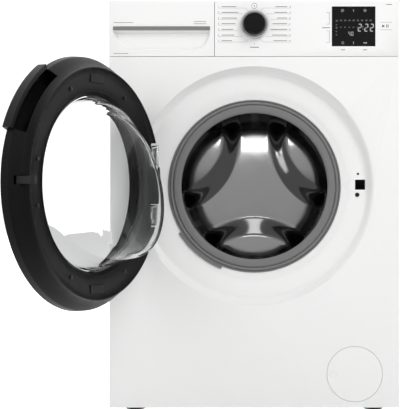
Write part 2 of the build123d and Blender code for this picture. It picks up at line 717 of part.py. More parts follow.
def make_sump_hose():
    """The rubber hose from the tub's outlet down to the pump."""
    start = (SUMP_X, SUMP_Y, 205)
    end = (FILTER_X, FRONT + 70, FILTER_Z + 62)
    with BuildPart() as hose:
        with BuildLine() as route:
            bends = [(SUMP_X, SUMP_Y, 178), (150, -170, 168), (FILTER_X, FRONT + 70, 172)]
            FilletPolyline(start, *bends, end, radius=13)
        with BuildSketch(Plane(origin=start, z_dir=(0, 0, -1))):
            Circle(15)
        sweep(path=route.wires()[0])
    write(hose, "sump_hose")


# ---------------------------------------------------------------- drum


def make_drum():
    skin = 0.8
    inner = DRUM_R - skin
    with BuildPart() as shell:
        start, end = DRUM_FRONT + 8, DRUM_BACK - 6
        turned([(inner, start), (DRUM_R, start), (DRUM_R, end), (inner, end)])
    write(shell, "drum_shell")
    edge = inner - FIT
    with BuildPart() as front:
        outline = [(edge, DRUM_FRONT + 20), (edge, DRUM_FRONT + 7), (edge - 6, DRUM_FRONT + 1)]
        outline += [(MOUTH_R + 8, DRUM_FRONT - 4), (MOUTH_R, DRUM_FRONT + 2), (MOUTH_R, DRUM_FRONT + 14)]
        inside = [(MOUTH_R + 1, DRUM_FRONT + 14), (MOUTH_R + 1, DRUM_FRONT + 3), (MOUTH_R + 8, DRUM_FRONT - 3)]
        inside += [(edge - 7, DRUM_FRONT + 2), (edge - 1, DRUM_FRONT + 8), (edge - 1, DRUM_FRONT + 20)]
        turned(outline + inside)
    write(front, "drum_front")
    with BuildPart() as back:
        outline = [(0, DRUM_BACK - 1), (edge, DRUM_BACK - 1), (edge, DRUM_BACK - 14)]
        outline += [(edge - 1, DRUM_BACK - 14), (edge - 1, DRUM_BACK - 2), (0, DRUM_BACK - 2)]
        turned(outline)
        raised_lobes(DRUM_BACK - 2, 0, Mode.ADD)
        raised_lobes(DRUM_BACK - 1, 1, Mode.SUBTRACT)
    write(back, "drum_back")


def raised_lobes(y, inset, mode):
    """The three pressed lobes of the drum's back, raised forward from a depth."""
    with BuildSketch(Plane((0, y, DRUM_Z), x_dir=(1, 0, 0), z_dir=(0, -1, 0))) as outline:
        with PolarLocations(LOBE_CENTRE, 3, start_angle=30):
            Circle(LOBE_R - inset)
        Circle(LOBE_EDGE - inset, mode=Mode.INTERSECT)
        fillet(outline.vertices(), 12 - inset)
    extrude(outline.sketch, amount=LOBE_RISE, mode=mode)


def make_lifters():
    base = DRUM_R - 0.8 - FIT
    with BuildPart() as lifters:
        for turn in (30, 150, 270):
            add(lifter_solid(base).rotate(Axis.Y, turn).translate((0, 0, DRUM_Z)))
    write(lifters, "drum_lifters")


def lifter_solid(base):
    """One hollow plastic rib, standing on the drum's wall at +X before it is turned."""
    half = 32
    with BuildPart(mode=Mode.PRIVATE) as lifter:
        with BuildSketch(Plane.XZ.offset(DRUM_FRONT * -1 - 40)) as profile:
            with BuildLine():
                Polyline((base + 5, -half), (base - 10, -half), (base - 52, -9), (base - 52, 9),
                         (base - 10, half), (base + 5, half), close=True)
            make_face()
            fillet(profile.vertices().sort_by(Axis.X)[:4], 7)
        extrude(profile.sketch, amount=-(DRUM_BACK - DRUM_FRONT - 75))
        rod_y(0, 0, base, (DRUM_FRONT, DRUM_BACK), Mode.INTERSECT)
    return lifter.part


def make_spider():
    with BuildPart() as spider:
        rod_y(0, DRUM_Z, 34, (DRUM_BACK - 1, 164))
        for turn in (90, 210, 330):
            add(spider_arm(turn))
        rod_y(0, DRUM_Z, SHAFT_R, (DRUM_BACK - 1, PULLEY_BACK))
        rod_y(0, DRUM_Z, 12, (PULLEY_BACK, PULLEY_BACK + 8))
    write(spider, "drum_spider")


def spider_arm(turn):
    """One arm of the cast spider, lying at +X before it is turned."""
    with BuildPart(mode=Mode.PRIVATE) as arm:
        block((20, DRUM_R - 4), (DRUM_BACK - 1, DRUM_BACK + 5), (-14, 14))
        block((20, DRUM_R - 60), (DRUM_BACK + 5, DRUM_BACK + 18), (-4, 4))
    return arm.part.rotate(Axis.Y, -turn).translate((0, 0, DRUM_Z))


def make_drum_pulley():
    with BuildPart() as pulley:
        for inner, outer in ((PULLEY_R - 6, PULLEY_R), (SHAFT_R + FIT, 28)):
            turned([(inner, PULLEY_FRONT), (outer, PULLEY_FRONT), (outer, PULLEY_BACK), (inner, PULLEY_BACK)])
        for turn in range(0, 360, 60):
            add(pulley_spoke(turn))
    write(pulley, "drum_pulley")


def pulley_spoke(turn):
    """One flat spoke of the drum pulley, at +X before it is turned."""
    with BuildPart(mode=Mode.PRIVATE) as spoke:
        block((26, PULLEY_R - 4), (PULLEY_FRONT + 3, PULLEY_BACK - 3), (-9, 9))
    return spoke.part.rotate(Axis.Y, turn).translate((0, 0, DRUM_Z))


def make_gasket():
    """The rubber door seal, from the panel's edge in to the lip and back to the tub."""
    front = [(180, 27), (180, 24.5), (177.5, 23), (176, 26), (174.5, 23), (169.5, 23), (168, 26.5)]
    front += [(166.5, 23.5), (158, 24), (152.5, 28), (152.5, 30)]
    inside = [(157.5, 31), (158.5, 38), (171, 44), (171, 49), (160, 55), (160.5, 62), (166, 69.9)]
    inside += [(173 + FIT, 69.9), (173 + FIT, 83), (176.5, 83)]
    outside = [(176.5, 66.5), (168, 66.5), (163, 61), (163, 57), (174, 51.5), (174, 41.5), (161.5, 36)]
    outside += [(162, 34), (180, 34), (180, 28), (PANEL_HOLE_R - FIT, 28), (PANEL_HOLE_R - FIT, 27)]
    with BuildPart() as gasket:
        door_section(front + inside + outside)
    write(gasket, "door_gasket")


# ---------------------------------------------------------------- door


def hinge_pockets():
    """Cut room for the hinge out of a door piece."""
    for side in (-1, 1):
        middle = DRUM_Z + side * HINGE_SPREAD
        block((-245, -188), (FRONT - 27.5, FRONT + 21), (middle - POCKET, middle + POCKET), Mode.SUBTRACT)


def swing_reliefs():
    """Flatten the edge where it passes the panel's face with the door wide open."""
    for side in (-1, 1):
        z = sorted((DRUM_Z + side * 60, DRUM_Z + side * 115))
        with Locations(Location((HINGE_X, HINGE_Y, z[0]), (0, 0, DOOR_LIMIT))):
            with Locations((0, FRONT - HINGE_Y - 1, 0)):
                Box(90, 40, z[1] - z[0], align=(Align.CENTER, Align.MIN, Align.MIN), mode=Mode.SUBTRACT)


def handle_zone(inner, outer, y, mode):
    """A curved bar on the side away from the hinge, between 22 and 58 degrees up."""
    with BuildSketch(Plane((0, FRONT + y[0], DRUM_Z), x_dir=(1, 0, 0), z_dir=(0, -1, 0))) as zone:
        with BuildLine():
            low, high, middle = radians(22), radians(58), radians(40)
            start = Line((inner * cos(low), inner * sin(low)), (outer * cos(low), outer * sin(low)))
            rim = ThreePointArc(start @ 1, (outer * cos(middle), outer * sin(middle)),
                                (outer * cos(high), outer * sin(high)))
            end = Line(rim @ 1, (inner * cos(high), inner * sin(high)))
            ThreePointArc(end @ 1, (inner * cos(middle), inner * sin(middle)), start @ 0)
        make_face()
    extrude(zone.sketch, amount=-(y[1] - y[0]), mode=mode)


def make_door_trim():
    with BuildPart() as trim:
        outside = [(166, -27), (176, -30.5), (222, -32), (232, -30.5), (DOOR_R, -25.5), (236.2, -12)]
        inside = [(233.7, -12), (234.8, -24.6), (231, -28), (222, -29.5), (176, -28), (168, -25), (166, -25)]
        door_section(outside + inside)
        door_section([(170, -28.4), (173, -28.2), (173, -4), (170, -4)])
        hinge_pockets()
        swing_reliefs()
        handle_zone(226, 250, (-33, -12), Mode.SUBTRACT)
    write_swung(trim, "door_trim")


def make_door_handle():
    with BuildPart() as handle:
        handle_zone(226, 246, (-31, -22), Mode.ADD)
        handle_zone(238, 246, (-22, -12), Mode.ADD)
        fillet(handle.faces().sort_by(Axis.Y)[0].edges(), 2)
    write_swung(handle, "door_handle")


def make_door_frame():
    with BuildPart() as frame:
        outside = [(236.2, -12), (234, -8), (217, 9), (216, 17.7), (213.8, 17.7), (213.2, 12.5)]
        outside += [(172, 9.5), (GLASS_R, 3.9), (GLASS_R, 0.9)]
        inside = [(173, 6.5), (212, 9.5), (230.5, -9.5), (231.5, -12)]
        door_section(outside + inside)
        hinge_pockets()
        swing_reliefs()
        for side in (-1, 1):
            middle = DRUM_Z + side * HINGE_SPREAD
            block((-188, -177), (FRONT - 20, FRONT + 8), (middle - POCKET, middle + POCKET))
        handle_zone(221, 240, (-13, 4), Mode.SUBTRACT)
        latch = (LATCH_X - 9, LATCH_X + 10)
        block(latch, (FRONT - 13, FRONT + 20), (LATCH_Z - 7, LATCH_Z + 7), Mode.SUBTRACT)
        block((LATCH_X - 16, LATCH_X - 9), (FRONT - 8, FRONT + 8), (LATCH_Z - 12, LATCH_Z + 12))
        for side in (-1, 1):
            z = sorted((LATCH_Z + side * 7, LATCH_Z + side * 12))
            block((LATCH_X - 16, LATCH_X + 4), (FRONT - 8, FRONT + 4), z)
        rod_z(LATCH_X, FRONT - 2, 2, (LATCH_Z - 12, LATCH_Z + 12))
    write_swung(frame, "door_frame")


def make_glass_bowl():
    with BuildPart() as bowl:
        add(bowl_core(0))
        turned([(150, FRONT - 4), (176, FRONT - 4), (176, FRONT + 0.8), (150, FRONT + 0.8)])
        add(bowl_core(5), mode=Mode.SUBTRACT)
    write_swung(bowl, "glass_bowl")


def bowl_core(inset):
    """The bowl's bulge as a solid, smaller by an inset, with its end leaning back at the foot."""
    sections = [(-4 - inset, 163, 0), (0.8, 161.5, 0), (28, 151.8, 0), (48 - inset / 2, 144, 6)]
    sections += [(60 - inset, 139.5, 10), (66 - inset, 135, BOWL_TILT), (70 - inset, 128, BOWL_TILT)]
    sections += [(72 - inset, 117, BOWL_TILT)]
    with BuildPart(mode=Mode.PRIVATE) as core:
        for depth, radius, tilt in sections:
            lean = radians(tilt)
            normal = (0, cos(lean), sin(lean))
            with BuildSketch(Plane((0, FRONT + depth, DRUM_Z), x_dir=(1, 0, 0), z_dir=normal)):
                Circle(radius - inset)
        loft(ruled=True)
    return core.part


def make_hinge():
    floor = FRONT + RECESS_DEPTH
    with BuildPart() as bracket:
        for side in (-1, 1):
            z = DRUM_Z + side * HINGE_SPREAD
            block((-231, -199), (floor - 2, floor), (z - 22, z + 22))
            rod_y(0, DRUM_Z, 230.5, (floor - 3, floor + 1), Mode.INTERSECT)
        for side in (-1, 1):
            z = DRUM_Z + side * HINGE_SPREAD
            block((-220, -211), (HINGE_Y, floor), (z - 7, z + 7))
            rod_z(HINGE_X, HINGE_Y, 7, (z - 7, z + 7))
            rod_z(HINGE_X, HINGE_Y, 3 + FIT, (z - 8, z + 8), Mode.SUBTRACT)
    write(bracket, "hinge_bracket")
    with BuildPart() as leaf:
        for side in (-1, 1):
            z = DRUM_Z + side * HINGE_SPREAD
            block((-196, -188), (HINGE_Y - 7, HINGE_Y + 7), (z - 18, z + 18))
            for low in (z - 18, z + 7.5):
                rod_z(HINGE_X, HINGE_Y, 7, (low, low + 10.5))
                block((HINGE_X, -190), (HINGE_Y - 7, HINGE_Y + 7), (low, low + 10.5))
                rod_z(HINGE_X, HINGE_Y, 3, (low, low + 10.5), Mode.SUBTRACT)
    write_swung(leaf, "hinge_arms")
    with BuildPart() as pins:
        for side in (-1, 1):
            z = DRUM_Z + side * HINGE_SPREAD
            rod_z(HINGE_X, HINGE_Y, 3, (z - 18, z + 18))
            rod_z(HINGE_X, HINGE_Y, 5, (z + 18, z + 20))
    write_swung(pins, "hinge_pins")


def make_door_screws():
    """Six cross head screws that hold the frame to the trim."""
    with BuildPart() as screws:
        for angle in (12, 62, 118, 242, 298, 348):
            x = 190 * cos(radians(angle))
            z = DRUM_Z + 190 * sin(radians(angle))
            rod_y(x, z, 3.5, (FRONT + 11.3, FRONT + 12.9))
    write_swung(screws, "door_screws")


def make_latch():
    """The sprung hook on the door, and the lock behind the front panel."""
    with BuildPart() as hook:
        rod_z(LATCH_X, FRONT - 2, 5, (LATCH_Z - 6.5, LATCH_Z + 6.5))
        block((LATCH_X - 4, LATCH_X + 4), (FRONT - 2, FRONT + 33), (LATCH_Z - 6.5, LATCH_Z + 6.5))
        block((LATCH_X, LATCH_X + 7), (FRONT + 25, FRONT + 33), (LATCH_Z - 6.5, LATCH_Z + 6.5))
        tip = hook.edges().filter_by(Axis.Z).group_by(Axis.Y)[-1].sort_by(Axis.X)[-1]
        chamfer(tip, 5)
        rod_z(LATCH_X, FRONT - 2, 2 + FIT, (LATCH_Z - 7, LATCH_Z + 7), Mode.SUBTRACT)
    write_swung(hook, "latch_hook")
    back = FRONT + RECESS_DEPTH + SHEET
    with BuildPart() as lock:
        block((LATCH_X - 15, LATCH_X + 15), (back, back + 28), (LATCH_Z - 34, LATCH_Z + 34))
        rod_y(0, DRUM_Z, 199, (back, back + 40), Mode.SUBTRACT)
        block((LATCH_X - SLOT_HALF, LATCH_X + SLOT_HALF), (back - 1, back + 24),
              (LATCH_Z - SLOT_HALF, LATCH_Z + SLOT_HALF), Mode.SUBTRACT)
        rod_y(LATCH_X - 4.5, LATCH_Z + 22.5, 2.5, (back - 1, back + 10), Mode.SUBTRACT)
        rod_y(LATCH_X - 6, LATCH_Z - 21, 2.5 - FIT, (FRONT + RECESS_DEPTH - 0.5, back + 1))
        rod_y(LATCH_X - 6, LATCH_Z - 21, 4.5, (FRONT + RECESS_DEPTH - 1.2, FRONT + RECESS_DEPTH))
    write(lock, "door_lock")


def main():
    make_cabinet_wrap()
    make_front_panel()
    make_worktop()
    make_rear_panel()
    make_transit_caps()
    make_base_frame()
    make_feet()
    make_control_fascia()
    make_display()
    make_dial()
    make_control_box()
    make_dispenser_housing()
    make_drawer()
    make_drawer_tray()
    make_siphon_insert()
    make_dispenser_hose()
    make_inlet_valve()
    make_power_gland()
    make_drain_spigot()
    make_drain_hose()
    make_filter_bay()
    make_filter_flap()
    make_drain_pump()
    make_filter_cap()
    make_tub_front()
    make_tub_rear()
    make_bearings()
    make_weights()
    make_heater()
    make_motor()
    make_belt()
    make_dampers()
    make_springs()
    make_sump_hose()
    make_drum()
    make_lifters()
    make_spider()
    make_drum_pulley()
    make_gasket()
    make_door_trim()
    make_door_handle()
    make_door_frame()
    make_glass_bowl()
    make_hinge()
    make_door_screws()
    make_latch()


main()
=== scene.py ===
"""Looks of a front load washing machine: white enamel cabinet, black open door, steel drum."""

import json
from math import atan2, cos, hypot, pi, radians, sin

import bmesh
import bpy
from mathutils import Matrix, Vector


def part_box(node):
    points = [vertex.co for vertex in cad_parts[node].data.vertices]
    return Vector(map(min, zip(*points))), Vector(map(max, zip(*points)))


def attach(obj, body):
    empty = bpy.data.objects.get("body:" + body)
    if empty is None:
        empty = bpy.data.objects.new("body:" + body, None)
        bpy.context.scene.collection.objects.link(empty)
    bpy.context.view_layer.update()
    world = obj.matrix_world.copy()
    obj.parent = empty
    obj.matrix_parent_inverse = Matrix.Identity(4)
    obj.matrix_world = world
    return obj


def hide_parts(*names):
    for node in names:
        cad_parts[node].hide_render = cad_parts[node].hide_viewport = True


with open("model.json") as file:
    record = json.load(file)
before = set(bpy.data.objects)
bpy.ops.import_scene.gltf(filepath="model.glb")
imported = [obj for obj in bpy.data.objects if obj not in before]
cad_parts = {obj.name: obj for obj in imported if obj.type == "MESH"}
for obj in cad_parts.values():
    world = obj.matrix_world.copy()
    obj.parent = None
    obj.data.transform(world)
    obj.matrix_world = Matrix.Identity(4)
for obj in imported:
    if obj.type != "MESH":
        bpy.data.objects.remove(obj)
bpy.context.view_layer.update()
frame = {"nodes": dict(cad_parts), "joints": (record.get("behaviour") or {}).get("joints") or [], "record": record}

bl_info = {
    "name": "Front load washer",
    "version": (1, 0, 0),
    "blender": (4, 5, 0),
    "location": "View3D > Sidebar > Washer",
    "description": "Builds the visible pieces and finishes of a front load washing machine",
    "category": "Add Mesh",
}

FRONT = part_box("front_panel")[0].y
SHELL_LOW, SHELL_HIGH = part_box("drum_shell")
DRUM_Z = (SHELL_LOW.z + SHELL_HIGH.z) / 2
DRUM_R = (SHELL_HIGH.z - SHELL_LOW.z) / 2
BACK_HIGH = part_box("drum_back")[1]
DIAL_LOW, DIAL_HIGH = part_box("dial_ring")
DIAL_Z = (DIAL_LOW.z + DIAL_HIGH.z) / 2
GLASS_LOW, GLASS_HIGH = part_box("display_glass")
HINGE = next(joint for joint in frame["joints"] if joint["name"] == "door_hinge")
DOOR_POINT = Vector(HINGE["pos_m"])
DOOR_ANGLE = radians(HINGE["range_deg"][1])


# ---------------------------------------------------------------- settings


class WasherFinish(bpy.types.PropertyGroup):
    """Colours of the main finishes."""

    enamel: bpy.props.FloatVectorProperty(
        name="Cabinet enamel", description="Colour of the painted steel", subtype="COLOR",
        size=3, min=0, max=1, default=(0.86, 0.86, 0.855))
    door_black: bpy.props.FloatVectorProperty(
        name="Door black", description="Colour of the door's plastic", subtype="COLOR",
        size=3, min=0, max=1, default=(0.0065, 0.0065, 0.0068))
    seal_grey: bpy.props.FloatVectorProperty(
        name="Seal grey", description="Colour of the rubber door seal", subtype="COLOR",
        size=3, min=0, max=1, default=(0.185, 0.185, 0.185))
    drum_steel: bpy.props.FloatVectorProperty(
        name="Drum steel", description="Colour of the stainless drum", subtype="COLOR",
        size=3, min=0, max=1, default=(0.50, 0.50, 0.50))


class WasherSizes(bpy.types.PropertyGroup):
    """Sizes of the details that the looks add."""

    lobe_rise: bpy.props.FloatProperty(
        name="Lobe rise", description="How far the drum back's lobes stand towards the door",
        unit="LENGTH", default=0.012, min=0.0, max=0.04)
    hole_pitch: bpy.props.FloatProperty(
        name="Hole pitch", description="Spacing of the holes in the drum's wall",
        unit="LENGTH", default=0.017, min=0.01, max=0.04)
    print_rise: bpy.props.FloatProperty(
        name="Print thickness", description="How far the printed marks stand off the panel",
        unit="LENGTH", default=0.00012, min=0.00005, max=0.0005)
    camera_distance: bpy.props.FloatProperty(
        name="Camera distance", description="Distance of the camera from the machine's front",
        unit="LENGTH", default=2.161, min=0.5, max=10.0)
    camera_height: bpy.props.FloatProperty(
        name="Camera height", description="Height of the camera above the floor",
        unit="LENGTH", default=0.4288, min=0.0, max=3.0)


# ---------------------------------------------------------------- shader groups


def new_group(name, inputs, outputs):
    """An empty shader group with its sockets, and its two end nodes."""
    group = bpy.data.node_groups.new(name, "ShaderNodeTree")
    for socket_name, kind, value in inputs:
        socket = group.interface.new_socket(socket_name, in_out="INPUT", socket_type=kind)
        if value is not None:
            socket.default_value = value
    for socket_name, kind in outputs:
        group.interface.new_socket(socket_name, in_out="OUTPUT", socket_type=kind)
    return group, group.nodes.new("NodeGroupInput"), group.nodes.new("NodeGroupOutput")


def math_node(tree, operation, first, second=None, clamp=False):
    """A math node fed by sockets or numbers."""
    node = tree.nodes.new("ShaderNodeMath")
    node.operation = operation
    node.use_clamp = clamp
    for slot_index, value in enumerate((first, second)):
        if value is None:
            continue
        if isinstance(value, (int, float)):
            node.inputs[slot_index].default_value = value
        else:
            tree.links.new(value, node.inputs[slot_index])
    return node.outputs[0]


def noise(tree, vector, scale, detail=2.0, rough=0.5):
    """A noise value on a vector; scale is a number or a socket."""
    node = tree.nodes.new("ShaderNodeTexNoise")
    node.inputs["Detail"].default_value = detail
    node.inputs["Roughness"].default_value = rough
    tree.links.new(vector, node.inputs["Vector"])
    if isinstance(scale, (int, float)):
        node.inputs["Scale"].default_value = scale
    else:
        tree.links.new(scale, node.inputs["Scale"])
    return node.outputs["Fac"]


def grain_group():
    """Fine surface grain with slow shade and gloss changes."""
    group, start, end = new_group(
        "surface_grain",
        [("Vector", "NodeSocketVector", None), ("Grain Scale", "NodeSocketFloat", 900.0),
         ("Shade Change", "NodeSocketFloat", 0.04), ("Roughness", "NodeSocketFloat", 0.4),
         ("Gloss Change", "NodeSocketFloat", 0.06)],
        [("Shade", "NodeSocketFloat"), ("Roughness", "NodeSocketFloat"), ("Height", "NodeSocketFloat")])
    vector = start.outputs["Vector"]
    slow = noise(group, vector, 3.5, 4.0)
    smear = noise(group, vector, 22.0, 3.0)
    fine = noise(group, vector, start.outputs["Grain Scale"], 2.0)
    centred = math_node(group, "SUBTRACT", slow, 0.5)
    shade = math_node(group, "MULTIPLY", centred, start.outputs["Shade Change"])
    smear_centred = math_node(group, "SUBTRACT", smear, 0.5)
    gloss = math_node(group, "MULTIPLY", smear_centred, start.outputs["Gloss Change"])
    rough = math_node(group, "ADD", start.outputs["Roughness"], gloss, True)
    group.links.new(math_node(group, "ADD", shade, 1.0), end.inputs["Shade"])
    group.links.new(rough, end.inputs["Roughness"])
    group.links.new(fine, end.inputs["Height"])
    return group


def brush_group():
    """Turned brush lines that run round the drum's axis, as on rolled and polished steel."""
    group, start, end = new_group(
        "brush_lines",
        [("Vector", "NodeSocketVector", None), ("Line Scale", "NodeSocketFloat", 260.0)],
        [("Height", "NodeSocketFloat")])
    parts = group.nodes.new("ShaderNodeSeparateXYZ")
    group.links.new(start.outputs["Vector"], parts.inputs[0])
    square_x = math_node(group, "MULTIPLY", parts.outputs["X"], parts.outputs["X"])
    square_z = math_node(group, "MULTIPLY", parts.outputs["Z"], parts.outputs["Z"])
    radius = math_node(group, "SQRT", math_node(group, "ADD", square_x, square_z))
    joined = group.nodes.new("ShaderNodeCombineXYZ")
    group.links.new(radius, joined.inputs["X"])
    group.links.new(parts.outputs["Y"], joined.inputs["Y"])
    group.links.new(noise(group, joined.outputs[0], start.outputs["Line Scale"], 3.0), end.inputs["Height"])
    return group


def dust_group():
    """A soft mask of dust that lies on faces that look up."""
    group, start, end = new_group(
        "settled_dust", [("Vector", "NodeSocketVector", None), ("Amount", "NodeSocketFloat", 0.1)],
        [("Mask", "NodeSocketFloat")])
    geometry = group.nodes.new("ShaderNodeNewGeometry")
    parts = group.nodes.new("ShaderNodeSeparateXYZ")
    group.links.new(geometry.outputs["Normal"], parts.inputs[0])
    upward = math_node(group, "MULTIPLY", parts.outputs["Z"], start.outputs["Amount"], True)
    patchy = noise(group, start.outputs["Vector"], 14.0, 5.0)
    group.links.new(math_node(group, "MULTIPLY", upward, patchy, True), end.inputs["Mask"])
    return group


GROUPS = {}


def group_node(tree, name, vector, **values):
    """A shared group placed in a material, with its own values."""
    makers = {"surface_grain": grain_group, "brush_lines": brush_group, "settled_dust": dust_group}
    if name not in GROUPS:
        GROUPS[name] = makers[name]()
    node = tree.nodes.new("ShaderNodeGroup")
    node.node_tree = GROUPS[name]
    tree.links.new(vector, node.inputs["Vector"])
    for key, value in values.items():
        node.inputs[key.replace("_", " ").title()].default_value = value
    return node


# ---------------------------------------------------------------- materials


def base_material(name, colour, roughness, grain=900.0, depth=0.00002, shade=0.04, gloss=0.06, dust=0.0):
    """A principled material with grain, slow colour changes and dust, returned with its parts."""
    material = bpy.data.materials.new(name)
    material.use_nodes = True
    tree = material.node_tree
    shader = tree.nodes["Principled BSDF"]
    coordinates = tree.nodes.new("ShaderNodeTexCoord").outputs["Object"]
    skin = group_node(tree, "surface_grain", coordinates, grain_scale=grain, shade_change=shade,
                      roughness=roughness, gloss_change=gloss)
    tint = tree.nodes.new("ShaderNodeMix")
    tint.data_type = "RGBA"
    tint.blend_type = "MULTIPLY"
    tint.inputs["Factor"].default_value = 1.0
    tint.inputs["A"].default_value = (*colour, 1.0)
    tree.links.new(skin.outputs["Shade"], tint.inputs["B"])
    last = tint.outputs["Result"]
    if dust:
        cover = group_node(tree, "settled_dust", coordinates, amount=dust)
        layer = tree.nodes.new("ShaderNodeMix")
        layer.data_type = "RGBA"
        layer.inputs["B"].default_value = (0.45, 0.44, 0.42, 1.0)
        tree.links.new(cover.outputs["Mask"], layer.inputs["Factor"])
        tree.links.new(last, layer.inputs["A"])
        last = layer.outputs["Result"]
    tree.links.new(last, shader.inputs["Base Color"])
    tree.links.new(skin.outputs["Roughness"], shader.inputs["Roughness"])
    bump = tree.nodes.new("ShaderNodeBump")
    bump.inputs["Strength"].default_value = 0.35
    bump.inputs["Distance"].default_value = depth
    tree.links.new(skin.outputs["Height"], bump.inputs["Height"])
    tree.links.new(bump.outputs["Normal"], shader.inputs["Normal"])
    return material, shader, tree, bump, coordinates


def enamel_white(settings):
    material, shader = base_material(
        "enamel_white", settings.enamel, 0.34, grain=420.0, depth=0.00003, shade=0.012, gloss=0.05)[:2]
    shader.inputs["Coat Weight"].default_value = 0.25
    shader.inputs["Coat Roughness"].default_value = 0.18
    return material


def panel_plastic(settings):
    return base_material(
        "panel_plastic", settings.enamel, 0.38, grain=1500.0, depth=0.00002, shade=0.012, gloss=0.04)[0]


def door_plastic(settings):
    material, shader = base_material(
        "door_plastic", settings.door_black, 0.36, grain=1300.0, depth=0.00004, shade=0.25, gloss=0.10)[:2]
    shader.inputs["Specular IOR Level"].default_value = 0.22
    return material


def seal_rubber(settings):
    return base_material(
        "seal_rubber", settings.seal_grey, 0.55,
        grain=700.0, depth=0.00006, shade=0.10, gloss=0.12, dust=0.15)[0]


def steel(name, colour, roughness, line_scale=260.0, depth=0.00004):
    """Stainless or plated steel with turned brush lines about the drum's axis."""
    material, shader, tree, bump, where = base_material(
        name, colour, roughness, grain=1100.0, depth=depth, shade=0.08, gloss=0.10)
    shader.inputs["Metallic"].default_value = 1.0
    centre = tree.nodes.new("ShaderNodeMapping")
    centre.inputs["Location"].default_value = (0.0, 0.0, -DRUM_Z)
    tree.links.new(where, centre.inputs["Vector"])
    lines = group_node(tree, "brush_lines", centre.outputs["Vector"], line_scale=line_scale)
    tree.links.new(lines.outputs["Height"], bump.inputs["Height"])
    return material


def drum_steel(settings):
    return steel("drum_steel", settings.drum_steel, 0.075, 300.0, 0.000004)


def zinc_steel(settings):
    return steel("zinc_steel", (0.52, 0.53, 0.54), 0.36, 500.0)


def hinge_chrome(settings):
    return steel("hinge_chrome", (0.80, 0.80, 0.81), 0.12, 700.0, 0.00001)


def dial_silver(settings):
    return steel("dial_silver", (0.66, 0.66, 0.67), 0.28, 900.0, 0.00002)


def cast_alloy(settings):
    material, shader = base_material(
        "cast_alloy", (0.42, 0.43, 0.44), 0.5, grain=240.0, depth=0.0002, shade=0.15, gloss=0.15)[:2]
    shader.inputs["Metallic"].default_value = 0.9
    return material


def concrete(settings):
    return base_material(
        "ballast_concrete", (0.33, 0.325, 0.315), 0.88,
        grain=90.0, depth=0.0012, shade=0.5, gloss=0.08, dust=0.3)[0]


def moulded(name, colour, roughness, grain=1200.0, shade=0.08, dust=0.0):
    """A plain moulded plastic."""
    return base_material(name, colour, roughness, grain=grain, depth=0.00003, shade=shade, dust=dust)[0]


def bowl_glass(settings):
    """Clear pressed glass with a faint grey green body."""
    material = bpy.data.materials.new("bowl_glass")
    material.use_nodes = True
    tree = material.node_tree
    shader = tree.nodes["Principled BSDF"]
    shader.inputs["Base Color"].default_value = (0.955, 0.965, 0.962, 1.0)
    shader.inputs["Transmission Weight"].default_value = 1.0
    shader.inputs["IOR"].default_value = 1.2
    coordinates = tree.nodes.new("ShaderNodeTexCoord").outputs["Object"]
    wave = noise(tree, coordinates, 9.0, 1.0)
    smear = noise(tree, coordinates, 40.0, 4.0)
    tree.links.new(math_node(tree, "MULTIPLY", smear, 0.008), shader.inputs["Roughness"])
    bump = tree.nodes.new("ShaderNodeBump")
    bump.inputs["Strength"].default_value = 0.12
    bump.inputs["Distance"].default_value = 0.0003
    tree.links.new(wave, bump.inputs["Height"])
    tree.links.new(bump.outputs["Normal"], shader.inputs["Normal"])
    return material


def panel_glass(settings):
    material, shader = base_material(
        "panel_glass", (0.006, 0.006, 0.0065), 0.08, grain=60.0, depth=0.000004, shade=0.1, gloss=0.04)[:2]
    shader.inputs["Specular IOR Level"].default_value = 0.3
    return material


def lit_marks(settings):
    """The display's lit figures: pale, with uneven brightness over each light."""
    material, shader, tree, _, where = base_material(
        "lit_marks", (0.30, 0.31, 0.32), 0.4, grain=800.0, shade=0.1)
    glow = tree.nodes.new("ShaderNodeMix")
    glow.data_type = "RGBA"
    glow.inputs["A"].default_value = (0.78, 0.80, 0.84, 1.0)
    glow.inputs["B"].default_value = (0.97, 0.98, 1.0, 1.0)
    tree.links.new(noise(tree, where, 160.0), glow.inputs["Factor"])
    tree.links.new(glow.outputs["Result"], shader.inputs["Emission Color"])
    shader.inputs["Emission Strength"].default_value = 0.12
    return material


def printed(name, colour):
    """Screen printed ink."""
    return base_material(name, colour, 0.6, grain=2500.0, depth=0.00001, shade=0.12)[0]


FINISH_MAKERS = {
    "enamel_white": enamel_white,
    "panel_plastic": panel_plastic,
    "door_plastic": door_plastic,
    "seal_rubber": seal_rubber,
    "drum_steel": drum_steel,
    "zinc_steel": zinc_steel,
    "hinge_chrome": hinge_chrome,
    "dial_silver": dial_silver,
    "cast_alloy": cast_alloy,
    "ballast_concrete": concrete,
    "bowl_glass": bowl_glass,
    "panel_glass": panel_glass,
    "lit_marks": lit_marks,
    "cap_black": lambda s: moulded("cap_black", (0.012, 0.012, 0.013), 0.33, 1500.0, 0.2),
    "lock_black": lambda s: moulded("lock_black", (0.015, 0.015, 0.015), 0.5, 900.0, 0.2),
    "hose_rubber": lambda s: moulded("hose_rubber", (0.022, 0.022, 0.022), 0.62, 500.0, 0.3, 0.2),
    "tub_plastic": lambda s: moulded("tub_plastic", (0.52, 0.53, 0.52), 0.5, 500.0, 0.12, 0.25),
    "grey_plastic": lambda s: moulded("grey_plastic", (0.11, 0.112, 0.118), 0.48, 900.0, 0.12),
    "lifter_plastic": lambda s: moulded("lifter_plastic", (0.30, 0.30, 0.30), 0.4, 900.0, 0.08),
    "siphon_blue": lambda s: moulded("siphon_blue", (0.03, 0.09, 0.32), 0.3, 900.0, 0.1),
    "grip_grey": lambda s: moulded("grip_grey", (0.205, 0.205, 0.205), 0.42, 1500.0, 0.06),
    "ink_grey": lambda s: printed("ink_grey", (0.30, 0.30, 0.30)),
    "ink_dark": lambda s: printed("ink_dark", (0.05, 0.05, 0.05)),
    "dim_marks": lambda s: printed("dim_marks", (0.10, 0.10, 0.105)),
}
FINISHES = {}


